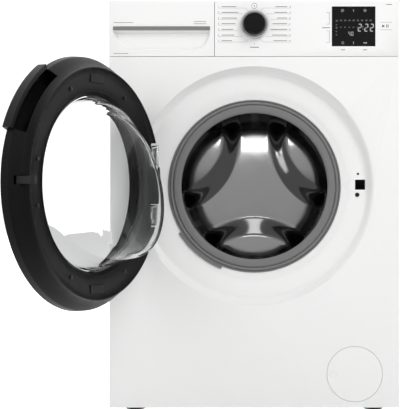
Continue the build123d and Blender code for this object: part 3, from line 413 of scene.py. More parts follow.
def finish(name):
    """The named material, made on first use."""
    if name not in FINISHES:
        FINISHES[name] = FINISH_MAKERS[name](bpy.context.scene.washer_finish)
    return FINISHES[name]


# ---------------------------------------------------------------- mesh helpers


def object_from(name, mesh):
    """A linked object for a mesh."""
    piece = bpy.data.objects.new(name, mesh)
    bpy.context.scene.collection.objects.link(piece)
    return piece


def steady_normals(piece):
    """Weigh the normals by face area, so that flat sheets stay flat beside their rounded edges."""
    modifier = piece.modifiers.new("steady", "WEIGHTED_NORMAL")
    modifier.keep_sharp = True
    modifier.weight = 100
    seen = piece.evaluated_get(bpy.context.evaluated_depsgraph_get())
    mesh = bpy.data.meshes.new_from_object(seen)
    piece.modifiers.clear()
    piece.data = mesh


def settle(piece, material, body, replaces=(), angle=35):
    """Give a finished piece its material, shading and body, and hide the CAD nodes it replaces."""
    piece.data.materials.clear()
    piece.data.materials.append(finish(material))
    piece.data.shade_smooth()
    piece.data.set_sharp_from_angle(angle=radians(angle))
    steady_normals(piece)
    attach(piece, body)
    if replaces:
        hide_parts(*replaces)
    return piece


def from_bmesh(name, work):
    """An object from a bmesh, which is freed."""
    mesh = bpy.data.meshes.new(name)
    work.to_mesh(mesh)
    work.free()
    return object_from(name, mesh)


def add_box(work, low, high, bevel=0.0):
    """A closed box in a bmesh, with its edges rounded if asked."""
    made = bmesh.ops.create_cube(work, size=1.0)["verts"]
    size = [b - a for a, b in zip(low, high)]
    middle = [(a + b) / 2 for a, b in zip(low, high)]
    bmesh.ops.scale(work, vec=size, verts=made)
    bmesh.ops.translate(work, vec=middle, verts=made)
    if bevel:
        edges = list({edge for vert in made for edge in vert.link_edges})
        bmesh.ops.bevel(work, geom=edges, offset=bevel, segments=2, affect="EDGES", profile=0.5)
    return made


def add_turned(work, profile, centre, segments=96, closed=True, arc=2 * pi, start=0.0):
    """A ring made by turning (radius, y) points about a line along Y."""
    rings = []
    full = abs(arc - 2 * pi) < 1e-6
    steps = segments if full else segments + 1
    for step in range(steps):
        angle = start + arc * step / segments
        rings.append([work.verts.new((centre[0] + radius * cos(angle), y, centre[1] + radius * sin(angle)))
                      for radius, y in profile])
    count = len(profile)
    for step in range(segments):
        first, second = rings[step], rings[(step + 1) % steps]
        for index in range(count if closed else count - 1):
            following = (index + 1) % count
            work.faces.new((first[index], first[following], second[following], second[index]))
    if closed and not full:
        work.faces.new(rings[0])
        work.faces.new(list(reversed(rings[-1])))
    return rings


def add_stack(work, sections, sides):
    """Rings of (radius, height) sections about Z joined into a wall; returns the rings."""
    turns = [2 * pi * i / sides for i in range(sides)]
    rings = [[work.verts.new((radius * cos(turn), radius * sin(turn), height)) for turn in turns]
             for radius, height in sections]
    for lower, upper in zip(rings, rings[1:]):
        join_rings(work, lower, upper)
    return rings


def join_rings(work, lower, upper):
    """Faces between two rings of the same count."""
    for i in range(len(lower)):
        j = (i + 1) % len(lower)
        work.faces.new((lower[i], lower[j], upper[j], upper[i]))


def tidy_normals(work):
    """Weld and turn every face outwards."""
    bmesh.ops.remove_doubles(work, verts=work.verts, dist=0.000002)
    bmesh.ops.recalc_face_normals(work, faces=work.faces)


def door_matrix():
    """Turns a door piece from shut to the angle it rests at."""
    there = Matrix.Translation(DOOR_POINT)
    return there @ Matrix.Rotation(-DOOR_ANGLE, 4, "Z") @ there.inverted()


def swing(work):
    """Move a bmesh built on the shut door to the open door."""
    bmesh.ops.transform(work, matrix=door_matrix(), verts=work.verts)


# ---------------------------------------------------------------- geometry nodes


def scatter_tree():
    """Stands a part on every point, with its +Z along the point's facing attribute."""
    tree = bpy.data.node_groups.new("part_on_points", "GeometryNodeTree")
    sockets = (("Geometry", "Geometry"), ("Part", "Object"), ("Size", "Float"), ("Material", "Material"))
    for name, kind in sockets:
        tree.interface.new_socket(name, in_out="INPUT", socket_type="NodeSocket" + kind)
    tree.interface.new_socket("Geometry", in_out="OUTPUT", socket_type="NodeSocketGeometry")
    start = tree.nodes.new("NodeGroupInput")
    end = tree.nodes.new("NodeGroupOutput")
    part = tree.nodes.new("GeometryNodeObjectInfo")
    facing = tree.nodes.new("GeometryNodeInputNamedAttribute")
    facing.data_type = "FLOAT_VECTOR"
    facing.inputs["Name"].default_value = "facing"
    stand = tree.nodes.new("FunctionNodeAlignRotationToVector")
    stand.axis = "Z"
    scatter = tree.nodes.new("GeometryNodeInstanceOnPoints")
    real = tree.nodes.new("GeometryNodeRealizeInstances")
    paint = tree.nodes.new("GeometryNodeSetMaterial")
    link = tree.links.new
    link(start.outputs["Part"], part.inputs["Object"])
    link(start.outputs["Geometry"], scatter.inputs["Points"])
    link(part.outputs["Geometry"], scatter.inputs["Instance"])
    link(facing.outputs["Attribute"], stand.inputs["Vector"])
    link(stand.outputs["Rotation"], scatter.inputs["Rotation"])
    link(start.outputs["Size"], scatter.inputs["Scale"])
    link(scatter.outputs["Instances"], real.inputs["Geometry"])
    link(real.outputs["Geometry"], paint.inputs["Geometry"])
    link(start.outputs["Material"], paint.inputs["Material"])
    link(paint.outputs["Geometry"], end.inputs["Geometry"])
    return tree


def scattered(name, points, part_work, material, body, angle=35):
    """One plain mesh of a part stood on each (place, facing) point, finished as a piece."""
    tree = bpy.data.node_groups.get("part_on_points") or scatter_tree()
    part = from_bmesh(name + "_part", part_work)
    mesh = bpy.data.meshes.new(name + "_points")
    mesh.from_pydata([tuple(place) for place, facing in points], [], [])
    attribute = mesh.attributes.new("facing", "FLOAT_VECTOR", "POINT")
    for entry, (place, facing) in zip(attribute.data, points):
        entry.vector = facing
    seeds = object_from(name + "_seeds", mesh)
    modifier = seeds.modifiers.new("stand", "NODES")
    values = {"Part": part, "Size": 1.0, "Material": finish(material)}
    modifier.node_group = tree
    for socket in tree.interface.items_tree:
        if socket.in_out == "INPUT" and socket.name in values:
            modifier[socket.identifier] = values[socket.name]
    bpy.context.view_layer.update()
    seen = seeds.evaluated_get(bpy.context.evaluated_depsgraph_get())
    piece = object_from(name, bpy.data.meshes.new_from_object(seen))
    seeds.modifiers.clear()
    bpy.data.objects.remove(seeds)
    bpy.data.objects.remove(part)
    return settle(piece, material, body, (), angle)


# ---------------------------------------------------------------- nodes kept as they are

SLOT_FINISH = {
    "white_steel": "enamel_white", "white_laminate": "enamel_white", "white_plastic": "panel_plastic",
    "tub_plastic": "tub_plastic", "black_gloss": "door_plastic", "black_matte": "lock_black",
    "black_glass": "panel_glass", "clear_glass": "bowl_glass", "grey_rubber": "seal_rubber",
    "dark_rubber": "hose_rubber", "stainless": "drum_steel", "zinc_steel": "zinc_steel",
    "chrome": "hinge_chrome", "silver_ring": "dial_silver", "cast_alloy": "cast_alloy",
    "concrete": "ballast_concrete", "grey_plastic": "grey_plastic", "blue_plastic": "siphon_blue",
}
NODE_SLOT = {part["node"]: part["material_slot"] for part in frame["record"]["subparts"]}
NODE_BODY = {node: body for body, nodes in frame["record"]["behaviour"]["bodies"].items() for node in nodes}


def skin(node, material=None, angle=28):
    """A welded, smooth shaded copy of a CAD node, with its finish, that stands for it."""
    work = bmesh.new()
    work.from_mesh(frame["nodes"][node].data)
    bmesh.ops.remove_doubles(work, verts=work.verts, dist=0.00001)
    slot = NODE_SLOT[node]
    piece = from_bmesh(node + "_skin", work)
    return settle(piece, material or SLOT_FINISH[slot], NODE_BODY[node], (node,), angle)


def finished(name, work, material, node, replaces=(), angle=35):
    """A piece made in a bmesh, on the body of the CAD node it belongs to."""
    tidy_normals(work)
    return settle(from_bmesh(name, work), material, NODE_BODY[node], replaces, angle)


def screw_head(radius, height, sides=20):
    """A domed screw head with a crossed recess, standing on the XY plane."""
    work = bmesh.new()
    sections = ((radius, 0.0), (radius, height * 0.45), (radius * 0.8, height * 0.85), (radius * 0.5, height))
    rings = add_stack(work, sections, sides)
    floor = []
    for i in range(sides):
        turn = 2 * pi * i / sides
        on_arm = i % 5 == 0
        reach = 1.0 if on_arm else 0.45
        depth = 0.5 if on_arm else 0.45
        floor.append(work.verts.new((radius * 0.42 * cos(turn) * reach, radius * 0.42 * sin(turn) * reach,
                                     height * depth)))
    join_rings(work, rings[-1], floor)
    work.faces.new(floor)
    work.faces.new(list(reversed(rings[0])))
    bmesh.ops.recalc_face_normals(work, faces=work.faces)
    return work


def slot_bar(length, width, height):
    """A raised louvre: a long bar with a rounded back, standing on the XY plane."""
    work = bmesh.new()
    add_box(work, (-length / 2, -width / 2, 0.0), (length / 2, width / 2, height), min(width, height) * 0.4)
    return work


# ---------------------------------------------------------------- cabinet


def make_cabinet():
    """Painted shell, front panel with its pressed recess, worktop and base."""
    for node in ("cabinet_wrap", "front_panel", "worktop", "base_frame", "transit_caps", "drain_spigot",
                 "power_gland", "inlet_valve"):
        skin(node)
    for name in ("front_left", "front_right", "rear_left", "rear_right"):
        skin("foot_" + name)


def make_rear():
    """Service panel at the back, with its screws and vent louvres, and screws along the shell's back edges."""
    skin("rear_panel")
    low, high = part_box("rear_panel")
    face = low.y + 0.001
    back = Vector((0, 1, 0))
    screws = []
    for step in range(5):
        z = low.z + 0.012 + (high.z - low.z - 0.024) * step / 4
        screws += [(Vector((x, face, z)), back) for x in (low.x + 0.008, high.x - 0.008)]
    vents = [(Vector((x, face, low.z + 0.045 + 0.011 * row)), back)
             for row in range(4) for x in (-0.09, 0.0, 0.09)]
    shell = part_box("cabinet_wrap")[1].y
    edge = [(Vector((side * 0.286, shell, 0.06 + 0.18 * step)), back)
            for side in (-1, 1) for step in range(5)]
    for name, points, part in (("rear_screws", screws, screw_head(0.0045, 0.0022)),
                               ("rear_louvres", vents, slot_bar(0.07, 0.005, 0.0022)),
                               ("shell_screws", edge, screw_head(0.0045, 0.0022))):
        scattered(name, points, part, "zinc_steel", "cabinet")


def make_works():
    """Everything inside the cabinet, seen past the drum and from below."""
    for node in ("control_module", "main_control_box", "dispenser_housing", "dispenser_hose", "drain_hose",
                 "filter_bay", "drain_pump", "pump_impeller", "filter_cap", "damper_tubes", "damper_rods",
                 "suspension_springs", "sump_hose", "door_lock", "tub_front", "tub_rear", "bearings",
                 "weight_front", "weight_top", "heater", "motor", "motor_pulley", "drive_belt",
                 "drum_spider", "drum_pulley"):
        skin(node)


# ---------------------------------------------------------------- control panel


INK_DEPTH = 0.0002  # how far a printed mark reaches into the face it is printed on
LINE_WIDTH = 0.0005


def ink_box(work, x, z, face, rise):
    """A printed patch on the panel's face between two limits in X and in Z."""
    add_box(work, (x[0], face - rise, z[0]), (x[1], face + INK_DEPTH, z[1]))


def ink_line(work, start, end, face, rise):
    """A printed line between two (x, z) points."""
    run = Vector((end[0] - start[0], 0, end[1] - start[1]))
    made = bmesh.ops.create_cube(work, size=1.0)["verts"]
    bmesh.ops.scale(work, vec=(run.length, rise + INK_DEPTH, LINE_WIDTH), verts=made)
    turn = Matrix.Rotation(-atan2(run.z, run.x), 4, "Y")
    bmesh.ops.transform(work, matrix=turn, verts=made)
    middle = ((start[0] + end[0]) / 2, face + (INK_DEPTH - rise) / 2, (start[1] + end[1]) / 2)
    bmesh.ops.translate(work, vec=middle, verts=made)


def ink_ring(work, centre, inner, outer, face, rise, segments):
    """A printed ring about an (x, z) point."""
    near, far = face - rise, face + INK_DEPTH
    add_turned(work, [(inner, near), (outer, near), (outer, far), (inner, far)], centre, segments)


def number_mesh(text, height, x, z, face, rise, align="LEFT"):
    """Printed figures as a mesh on the panel's face, its left or right edge at x."""
    curve = bpy.data.curves.new("figure", "FONT")
    curve.body = text
    curve.size = height / 0.7
    curve.align_x = align
    curve.extrude = (rise + INK_DEPTH) / 2
    holder = object_from("figure", curve)
    bpy.context.view_layer.update()
    seen = holder.evaluated_get(bpy.context.evaluated_depsgraph_get())
    mesh = bpy.data.meshes.new_from_object(seen)
    bpy.data.objects.remove(holder)
    mesh.transform(Matrix.Translation((x, face + (INK_DEPTH - rise) / 2, z)) @ Matrix.Rotation(pi / 2, 4, "X"))
    return mesh


ROW_TOP = 0.0365
ROW_STEP = 0.0117
LABEL_REACH = 0.075
LINE_REACH = (0.018, 0.024, 0.034, 0.038, 0.034, 0.024, 0.018)
WORD_LENGTHS = (0.030, 0.024, 0.034, 0.026, 0.031, 0.021, 0.028)


def make_panel():
    """Fascia, and the generic marks printed round the dial: numbered rows, bars and a power sign."""
    rise = bpy.context.scene.washer_sizes.print_rise
    skin("control_fascia")
    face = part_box("control_fascia")[0].y
    lines = bmesh.new()
    words = bmesh.new()
    for row in range(7):
        z = DIAL_Z + ROW_TOP - 0.0025 - ROW_STEP * row
        for side in (-1, 1):
            inner = side * LINE_REACH[row]
            ink_line(lines, (side * LABEL_REACH, z), (inner, z), face, rise)
            if row in (0, 6):
                toward = -1 if row == 0 else 1
                ink_line(lines, (inner, z), (side * 0.0125, z + toward * 0.006), face, rise)
            length = WORD_LENGTHS[(row * 2 + (side > 0)) % 7]
            first = side * (LABEL_REACH - 0.0075)
            second = side * (LABEL_REACH - 0.0075 - length)
            ink_box(words, sorted((first, second)), (z + 0.0022, z + 0.0033), face, rise)
            number = str(row + 1 + 7 * (side > 0))
            align = "LEFT" if side < 0 else "RIGHT"
            figure = number_mesh(number, 0.0030, side * LABEL_REACH, z + 0.0013, face, rise, align)
            words.from_mesh(figure)
    ink_ring(words, (0, DIAL_Z + 0.0385), 0.0052, 0.0058, face, rise, 40)
    ink_box(words, (-0.0004, 0.0004), (DIAL_Z + 0.0365, DIAL_Z + 0.0405), face, rise)
    ink_box(words, (-0.0003, 0.0003), (DIAL_Z - 0.0420, DIAL_Z - 0.0380), face, rise)
    ink_box(words, (-0.009, 0.009), (DIAL_Z - 0.0475, DIAL_Z - 0.0462), face, rise)
    finished("panel_lines", lines, "ink_grey", "control_fascia")
    finished("panel_labels", words, "ink_dark", "control_fascia")


def make_dial():
    """Silver ring and black cap, with the grip ribs round the cap and the pointer dot."""
    skin("dial_ring", angle=40)
    skin("dial_cap", angle=40)
    cap_low, cap_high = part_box("dial_cap")
    radius = (cap_high.x - cap_low.x) / 2
    ribs = []
    for step in range(60):
        angle = 2 * pi * step / 60
        outward = Vector((cos(angle), 0, sin(angle)))
        ribs.append((Vector((0, cap_low.y + 0.0055, DIAL_Z)) + outward * (radius - 0.0007), outward))
    rib = bmesh.new()
    add_box(rib, (-0.00035, -0.0030, -0.0002), (0.00035, 0.0030, 0.0006), 0.0002)
    scattered("dial_ribs", ribs, rib, "cap_black", "dial")
    dot = bmesh.new()
    near, far = DIAL_LOW.y + 0.0022, DIAL_LOW.y + 0.0060
    outline = [(0.0, near), (0.0013, near), (0.0013, far), (0.0, far)]
    add_turned(dot, outline, (0, DIAL_Z + 0.0256), 24, closed=False)
    finished("dial_pointer", dot, "cap_black", "dial_ring")


SEGMENTS = {"0": "abcdef", "2": "abged", "4": "fgbc"}


def digit(work, symbol, x, z, height, face, rise):
    """A seven segment figure with its lower left corner at (x, z)."""
    width = height * 0.5
    bar = height * 0.13
    middle = height / 2
    across_middle, at_left, at_right = (bar, width - bar), (0, bar), (width - bar, width)
    upper, lower = (middle + bar * 0.3, height - bar * 0.3), (bar * 0.3, middle - bar * 0.3)
    spans = {"a": (across_middle, (height - bar, height)), "d": (across_middle, (0, bar)),
             "g": (across_middle, (middle - bar / 2, middle + bar / 2)),
             "f": (at_left, upper), "b": (at_right, upper), "e": (at_left, lower), "c": (at_right, lower)}
    for name in SEGMENTS[symbol]:
        across, up = spans[name]
        ink_box(work, (x + across[0], x + across[1]), (z + up[0], z + up[1]), face, rise)


def make_display():
    """Black glass with its lit figures and dim signs, and the touch fields printed beside it."""
    rise = bpy.context.scene.washer_sizes.print_rise
    skin("display_glass")
    face = GLASS_LOW.y
    left, right, foot, head = GLASS_LOW.x, GLASS_HIGH.x, GLASS_LOW.z, GLASS_HIGH.z
    lit = bmesh.new()
    dim = bmesh.new()
    z = foot + 0.030
    for index, symbol in enumerate("222"):
        x = left + 0.0535 + 0.0115 * index + (0.002 if index else 0)
        digit(lit, symbol, x, z, 0.0165, face, rise)
    for up in (0.0045, 0.0105):
        ink_box(lit, (left + 0.0635, left + 0.0648), (z + up, z + up + 0.0014), face, rise)
    digit(lit, "4", left + 0.034, foot + 0.0215, 0.0085, face, rise)
    digit(lit, "0", left + 0.040, foot + 0.0215, 0.0085, face, rise)
    for x in (left + 0.022, left + 0.0685):
        ink_ring(lit, (x, head - 0.0085), 0.0022, 0.0029, face, rise, 24)
        ink_box(lit, (x - 0.0009, x + 0.0009), (head - 0.0091, head - 0.0079), face, rise)
    for up in (head - 0.0085, foot + 0.0070):
        ink_box(lit, (left + 0.0440, left + 0.0452), (up - 0.0022, up + 0.0022), face, rise)
    ink_ring(lit, (left + 0.0225, foot + 0.0070), 0.0020, 0.0026, face, rise, 24)
    for step in range(3):
        x = (left + 0.0655 + 0.0026 * step, left + 0.0672 + 0.0026 * step)
        ink_box(lit, x, (foot + 0.0055, foot + 0.0085), face, rise)
    for step in range(9):
        x = left + 0.008 + 0.0087 * step
        ink_box(dim, (x, x + 0.0045), (head - 0.0305, head - 0.0275), face, rise)
        ink_box(dim, (x, x + 0.0035), (head - 0.0440, head - 0.0420), face, rise)
    for step in range(5):
        up = (foot + 0.022 + 0.007 * step, foot + 0.0245 + 0.007 * step)
        ink_box(dim, (left + 0.008, left + 0.011), up, face, rise)
    finished("display_figures", lit, "lit_marks", "display_glass")
    finished("display_signs", dim, "dim_marks", "display_glass")
    make_keys(left, right, foot, head, rise)


def make_keys(left, right, foot, head, rise):
    """The touch fields and signs printed on the fascia round the display."""
    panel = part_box("control_fascia")[0].y
    keys = bmesh.new()
    for low, high in ((head - 0.0365, head - 0.0125), (foot + 0.0080, foot + 0.0315)):
        ink_line(keys, (left - 0.0050, low), (left - 0.0050, high), panel, rise)
        for z in (low, high):
            ink_line(keys, (left - 0.0110, z), (left - 0.0050, z), panel, rise)
    ink_box(keys, (left - 0.0200, left - 0.0035), (foot + 0.0375, foot + 0.0388), panel, rise)
    for x in (left + 0.023, left + 0.0685):
        ink_box(keys, (x - 0.004, x + 0.004), (foot - 0.0080, foot - 0.0068), panel, rise)
    for z in (foot + 0.0340, foot + 0.0495):
        ink_line(keys, (right + 0.0105, z), (right + 0.0340, z), panel, rise)
    middle = foot + 0.0417
    sign = [keys.verts.new((right + 0.0175 + x, panel - rise, middle + z))
            for x, z in ((-0.0035, 0.0032), (-0.0035, -0.0032), (0.0022, 0.0))]
    keys.faces.new(sign)
    for x in (right + 0.0225, right + 0.0255):
        ink_box(keys, (x, x + 0.0014), (middle - 0.0032, middle + 0.0032), panel, rise)
    ink_box(keys, (right + 0.0220, right + 0.0340), (head + 0.0035, head + 0.0046), panel, rise)
    finished("panel_keys", keys, "ink_dark", "control_fascia")


GRIP_Z = (0.7878, 0.7962)


def make_drawer():
    """Detergent drawer: front with its scoop and grey grip, tray, and the softener siphon."""
    for node in ("drawer_front", "drawer_tray", "siphon_insert"):
        skin(node)
    rise = bpy.context.scene.washer_sizes.print_rise
    low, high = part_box("drawer_front")
    grip = bmesh.new()
    grip_low = (low.x + 0.0085, FRONT - 0.0020, GRIP_Z[0])
    grip_high = (low.x + 0.2085, FRONT + 0.0005, GRIP_Z[1])
    add_box(grip, grip_low, grip_high, 0.0010)
    finished("drawer_grip", grip, "grip_grey", "drawer_front")
    marks = bmesh.new()
    for x, z, length in ((low.x + 0.0100, 0.8035, 0.040), (high.x - 0.042, 0.8055, 0.026),
                         (high.x - 0.042, 0.8010, 0.026), (low.x + 0.0100, 0.7395, 0.030)):
        ink_box(marks, (x, x + length), (z, z + 0.0012), FRONT, rise)
    finished("drawer_marks", marks, "ink_grey", "drawer_front")


def make_service():
    """Service flap in front of the pump filter."""
    skin("filter_flap")


# ---------------------------------------------------------------- door seal and drum

SEAL_OUTLINE = (
    (0.1800, 0.0280), (0.1803, 0.0262), (0.1795, 0.0247), (0.1784, 0.0243), (0.1775, 0.0250), (0.1770, 0.0268),
    (0.1764, 0.0270), (0.1757, 0.0250), (0.1748, 0.0240), (0.1733, 0.0237), (0.1718, 0.0241), (0.1707, 0.0252),
    (0.1701, 0.0272), (0.1695, 0.0274), (0.1687, 0.0256), (0.1676, 0.0243), (0.1655, 0.0238), (0.1610, 0.0239),
    (0.1565, 0.0246), (0.1535, 0.0262), (0.1524, 0.0285), (0.1528, 0.0305), (0.1550, 0.0312), (0.1575, 0.0320),
    (0.1585, 0.0380), (0.1625, 0.0400), (0.1690, 0.0430), (0.1705, 0.0460), (0.1690, 0.0495), (0.1630, 0.0530),
    (0.1602, 0.0560), (0.1600, 0.0600), (0.1615, 0.0635), (0.1660, 0.0690),
)


def make_seal():
    """Rubber door seal with its flat lip, ring grooves, inner fold and drain tab at the lower left."""
    work = bmesh.new()
    outline = [(radius, FRONT + depth) for radius, depth in SEAL_OUTLINE]
    outline += [(0.1730, FRONT + 0.0699), (0.1765, FRONT + 0.0665), (0.1765, FRONT + 0.0300)]
    add_turned(work, outline, (0, DRUM_Z), 192)
    finished("door_seal", work, "seal_rubber", "door_gasket", ("door_gasket",), 60)
    tab = bmesh.new()
    rim = [(0.1790, 0.0262), (0.1800, 0.0240), (0.1852, 0.0240), (0.1860, 0.0250), (0.1860, 0.0262)]
    outline = [(radius, FRONT + depth) for radius, depth in rim]
    add_turned(tab, outline, (0, DRUM_Z), 40, arc=radians(36), start=radians(212))
    finished("door_seal_tab", tab, "seal_rubber", "door_gasket")


LIFTER_TURNS = (30, 150, 270)
LOBE_CENTRE = 0.257
LOBE_RADIUS = 0.190
LOBE_EDGE = 0.226
LOBE_SHOULDER = 0.050
LOBE_RIM = 0.016


def lobe_height(x, z):
    """How far the drum's back stands forward at a point: three large round lobes between three arms."""
    inner = 0.0
    for turn in LIFTER_TURNS:
        away = hypot(x - LOBE_CENTRE * cos(radians(turn)), z - LOBE_CENTRE * sin(radians(turn)))
        inner = max(inner, LOBE_RADIUS - away)
    rim = eased((LOBE_EDGE - hypot(x, z)) / LOBE_RIM)
    crown = min(inner / (LOBE_RADIUS * 0.75), 1.0)
    return rim * (0.6 * eased(inner / LOBE_SHOULDER) + 0.4 * crown * (2 - crown))


def eased(part):
    """A soft step from 0 to 1."""
    part = min(max(part, 0.0), 1.0)
    return part * part * (3 - 2 * part)


def make_drum_back():
    """Pressed drum back: a flat three armed star between three raised lobes."""
    rise = bpy.context.scene.washer_sizes.lobe_rise
    plate = BACK_HIGH.y - 0.0012
    edge = BACK_HIGH.x - 0.0010
    rings, spokes = 84, 216
    work = bmesh.new()
    layers = []
    for depth in (0.0, 0.0010):
        grid = []
        for ring in range(1, rings + 1):
            radius = edge * ring / rings
            circle = []
            for spoke in range(spokes):
                angle = 2 * pi * spoke / spokes
                x, z = radius * cos(angle), radius * sin(angle)
                y = plate - rise * lobe_height(x, z) + depth
                circle.append(work.verts.new((x, y, DRUM_Z + z)))
            grid.append(circle)
        middle = work.verts.new((0, plate + depth, DRUM_Z))
        for spoke in range(spokes):
            work.faces.new((middle, grid[0][spoke], grid[0][(spoke + 1) % spokes]))
        for inner, outer in zip(grid, grid[1:]):
            for spoke in range(spokes):
                after = (spoke + 1) % spokes
                work.faces.new((inner[spoke], outer[spoke], outer[after], inner[after]))
        layers.append(grid[-1])
    for spoke in range(spokes):
        after = (spoke + 1) % spokes
        work.faces.new((layers[0][spoke], layers[1][spoke], layers[1][after], layers[0][after]))
    finished("drum_back_pressing", work, "drum_steel", "drum_back", ("drum_back",), 50)


HOLE_SECTIONS = ((0.0024, 0.0), (0.0017, 0.0004), (0.0012, 0.0001))

def make_drum():
    """Drum shell and front, lifters, and small black cups of painted shade where the holes cover the shell's wall.
    """
    pitch = bpy.context.scene.washer_sizes.hole_pitch
    skin("drum_shell")
    skin("drum_front")
    skin("drum_lifters", "lifter_plastic")
    wall = DRUM_R - 0.0008
    rows = int((SHELL_HIGH.y - SHELL_LOW.y - 0.06) / pitch)
    around = int(2 * pi * wall / pitch)
    holes = []
    for row in range(rows):
        for step in range(around):
            angle = 2 * pi * (step + 0.5 * (row % 2)) / around
            lifter = min(abs((angle + radians(turn) + pi) % (2 * pi) - pi) for turn in LIFTER_TURNS)
            if lifter < radians(10):
                continue
            inward = Vector((-cos(angle), 0, -sin(angle)))
            axis_point = Vector((0, SHELL_LOW.y + 0.03 + pitch * row, DRUM_Z))
            holes.append((axis_point - inward * (wall - 0.00005), inward))
    # each hole is a small closed black cup: painted shade standing for the dark gap seen through a real hole in
    # the wall
    hole = bmesh.new()
    rims = add_stack(hole, HOLE_SECTIONS, 8)
    hole.faces.new(rims[-1])
    scattered("drum_holes", holes, hole, "lock_black", "drum", 60)


# ---------------------------------------------------------------- door


def shut_point(radius, angle, depth):
    """A point on the shut door, from its radius, its angle in degrees and its depth behind the front."""
    return (radius * cos(radians(angle)), FRONT + depth, DRUM_Z + radius * sin(radians(angle)))


LIP_OUTLINE = ((0.1655, 0.0052), (0.1690, 0.0088), (0.1705, 0.0102), (0.1722, 0.0102), (0.1728, 0.0093),
               (0.1725, 0.0060))
BOSS_SECTIONS = ((0.0040, -0.0008), (0.0040, 0.0006), (0.0024, 0.0006), (0.0022, -0.0006))
BOSS_ANGLES = (30, 46, 134, 150, 210, 226, 314, 330)
SCREW_ANGLES = (12, 62, 118, 242, 298, 348)


def make_door():
    """Door trim, inner frame with its raised rim, grip and small moulded details."""
    for node in ("door_trim", "door_handle", "door_frame", "latch_hook"):
        skin(node, angle=24)
    skin("door_screws", "cap_black")
    lip = bmesh.new()
    add_turned(lip, [(radius, FRONT + depth) for radius, depth in LIP_OUTLINE], (0, DRUM_Z), 160)
    swing(lip)
    finished("door_lip", lip, "door_plastic", "door_frame", (), 50)
    pads = bmesh.new()
    for angle in (88, 272):
        middle = Vector(shut_point(0.195, angle, 0.0102))
        add_box(pads, (-0.022, -0.0006, -0.008), (0.022, 0.0028, 0.008), 0.0012)
        around = [vert for vert in pads.verts if vert.co.length < 0.03]
        turn = Matrix.Translation(middle) @ Matrix.Rotation(-radians(angle - 90), 4, "Y")
        bmesh.ops.transform(pads, matrix=turn, verts=around)
    swing(pads)
    finished("door_pads", pads, "door_plastic", "door_frame")
    facing = (door_matrix().to_3x3() @ Vector((0, 1, 0))).normalized()
    bosses = [(door_matrix() @ Vector(shut_point(0.203, angle, 0.0104)), facing) for angle in BOSS_ANGLES]
    boss = bmesh.new()
    rims = add_stack(boss, BOSS_SECTIONS, 20)
    boss.faces.new(rims[-1])
    scattered("door_bosses", bosses, boss, "lock_black", "door")
    heads = [(door_matrix() @ Vector(shut_point(0.190, angle, 0.0128)), facing) for angle in SCREW_ANGLES]
    scattered("door_screw_heads", heads, screw_head(0.0036, 0.0012), "cap_black", "door")


def bowl_ring(inset, depth, radius, tilt, segments):
    """One round of the bowl's surface, leaning back at its foot by a tilt in degrees."""
    lean = radians(tilt)
    points = []
    for step in range(segments):
        angle = 2 * pi * step / segments
        x, up = (radius - inset) * cos(angle), (radius - inset) * sin(angle)
        points.append((x, FRONT + depth - up * sin(lean), DRUM_Z + up * cos(lean)))
    return points


# depth behind the front, radius and lean in degrees, from the frame to the bowl's end
BOWL_OUTSIDE = (
    (0.0008, 0.1615, 0), (0.0100, 0.1585, 0), (0.0200, 0.1548, 0), (0.0280, 0.1518, 0), (0.0380, 0.1480, 2.5),
    (0.0480, 0.1440, 6), (0.0555, 0.1414, 8.4), (0.0600, 0.1395, 10), (0.0640, 0.1380, 11.2),
    (0.0668, 0.1362, 12), (0.0690, 0.1336, 12), (0.0704, 0.1300, 12), (0.0713, 0.1250, 12),
    (0.0718, 0.1190, 12), (0.0720, 0.1080, 12), (0.0722, 0.0700, 12), (0.0723, 0.0350, 12),
)
GLASS_THICKNESS = 0.0035


def make_bowl():
    """Pressed glass bowl: a flange held in the frame and a bulge whose end leans back at its foot."""
    segments = 160
    work = bmesh.new()
    outside = [bowl_ring(0.0, *section, segments) for section in BOWL_OUTSIDE]
    wall = GLASS_THICKNESS
    inside = [bowl_ring(wall, depth - wall * min(1.0, depth / 0.05), radius, tilt, segments)
              for depth, radius, tilt in BOWL_OUTSIDE]
    flange = [bowl_ring(0.0, 0.0008, 0.1755, 0, segments), bowl_ring(0.0, -0.0038, 0.1755, 0, segments),
              bowl_ring(0.0, -0.0038, 0.1575, 0, segments)]
    rounds = list(reversed(outside)) + flange + inside[1:]
    made = [[work.verts.new(point) for point in points] for points in rounds]
    for first, second in zip(made, made[1:]):
        for step in range(segments):
            after = (step + 1) % segments
            work.faces.new((first[step], first[after], second[after], second[step]))
    work.faces.new(made[0])
    work.faces.new(list(reversed(made[-1])))
    swing(work)
    finished("bowl", work, "bowl_glass", "glass_bowl", ("glass_bowl",), 60)


def make_hinge():
    """Chrome hinge: the two lugs on the cabinet, the arms on the door and their pins."""
    for node in ("hinge_bracket", "hinge_arms", "hinge_pins"):
        skin(node)


# ---------------------------------------------------------------- stage


def area_light(name, place, target, size, energy):
    """A square soft light aimed at a point, with no mirror image of its own."""
    lamp = bpy.data.lights.new(name, "AREA")
    lamp.shape = "SQUARE"
    lamp.size = size
    lamp.energy = energy
    holder = object_from(name, lamp)
    holder.location = place
    holder.rotation_euler = (Vector(target) - Vector(place)).to_track_quat("-Z", "Y").to_euler()
    holder.visible_glossy = False


def strip_light(name, place, size, energy):
    """A narrow bright panel above the camera, for the highlights on the drum's back."""
    lamp = bpy.data.lights.new(name, "AREA")
    lamp.shape = "RECTANGLE"
    lamp.size, lamp.size_y = size
    lamp.energy = energy
    holder = object_from(name, lamp)
    holder.location = place
    holder.rotation_euler = (pi / 2, 0, 0)


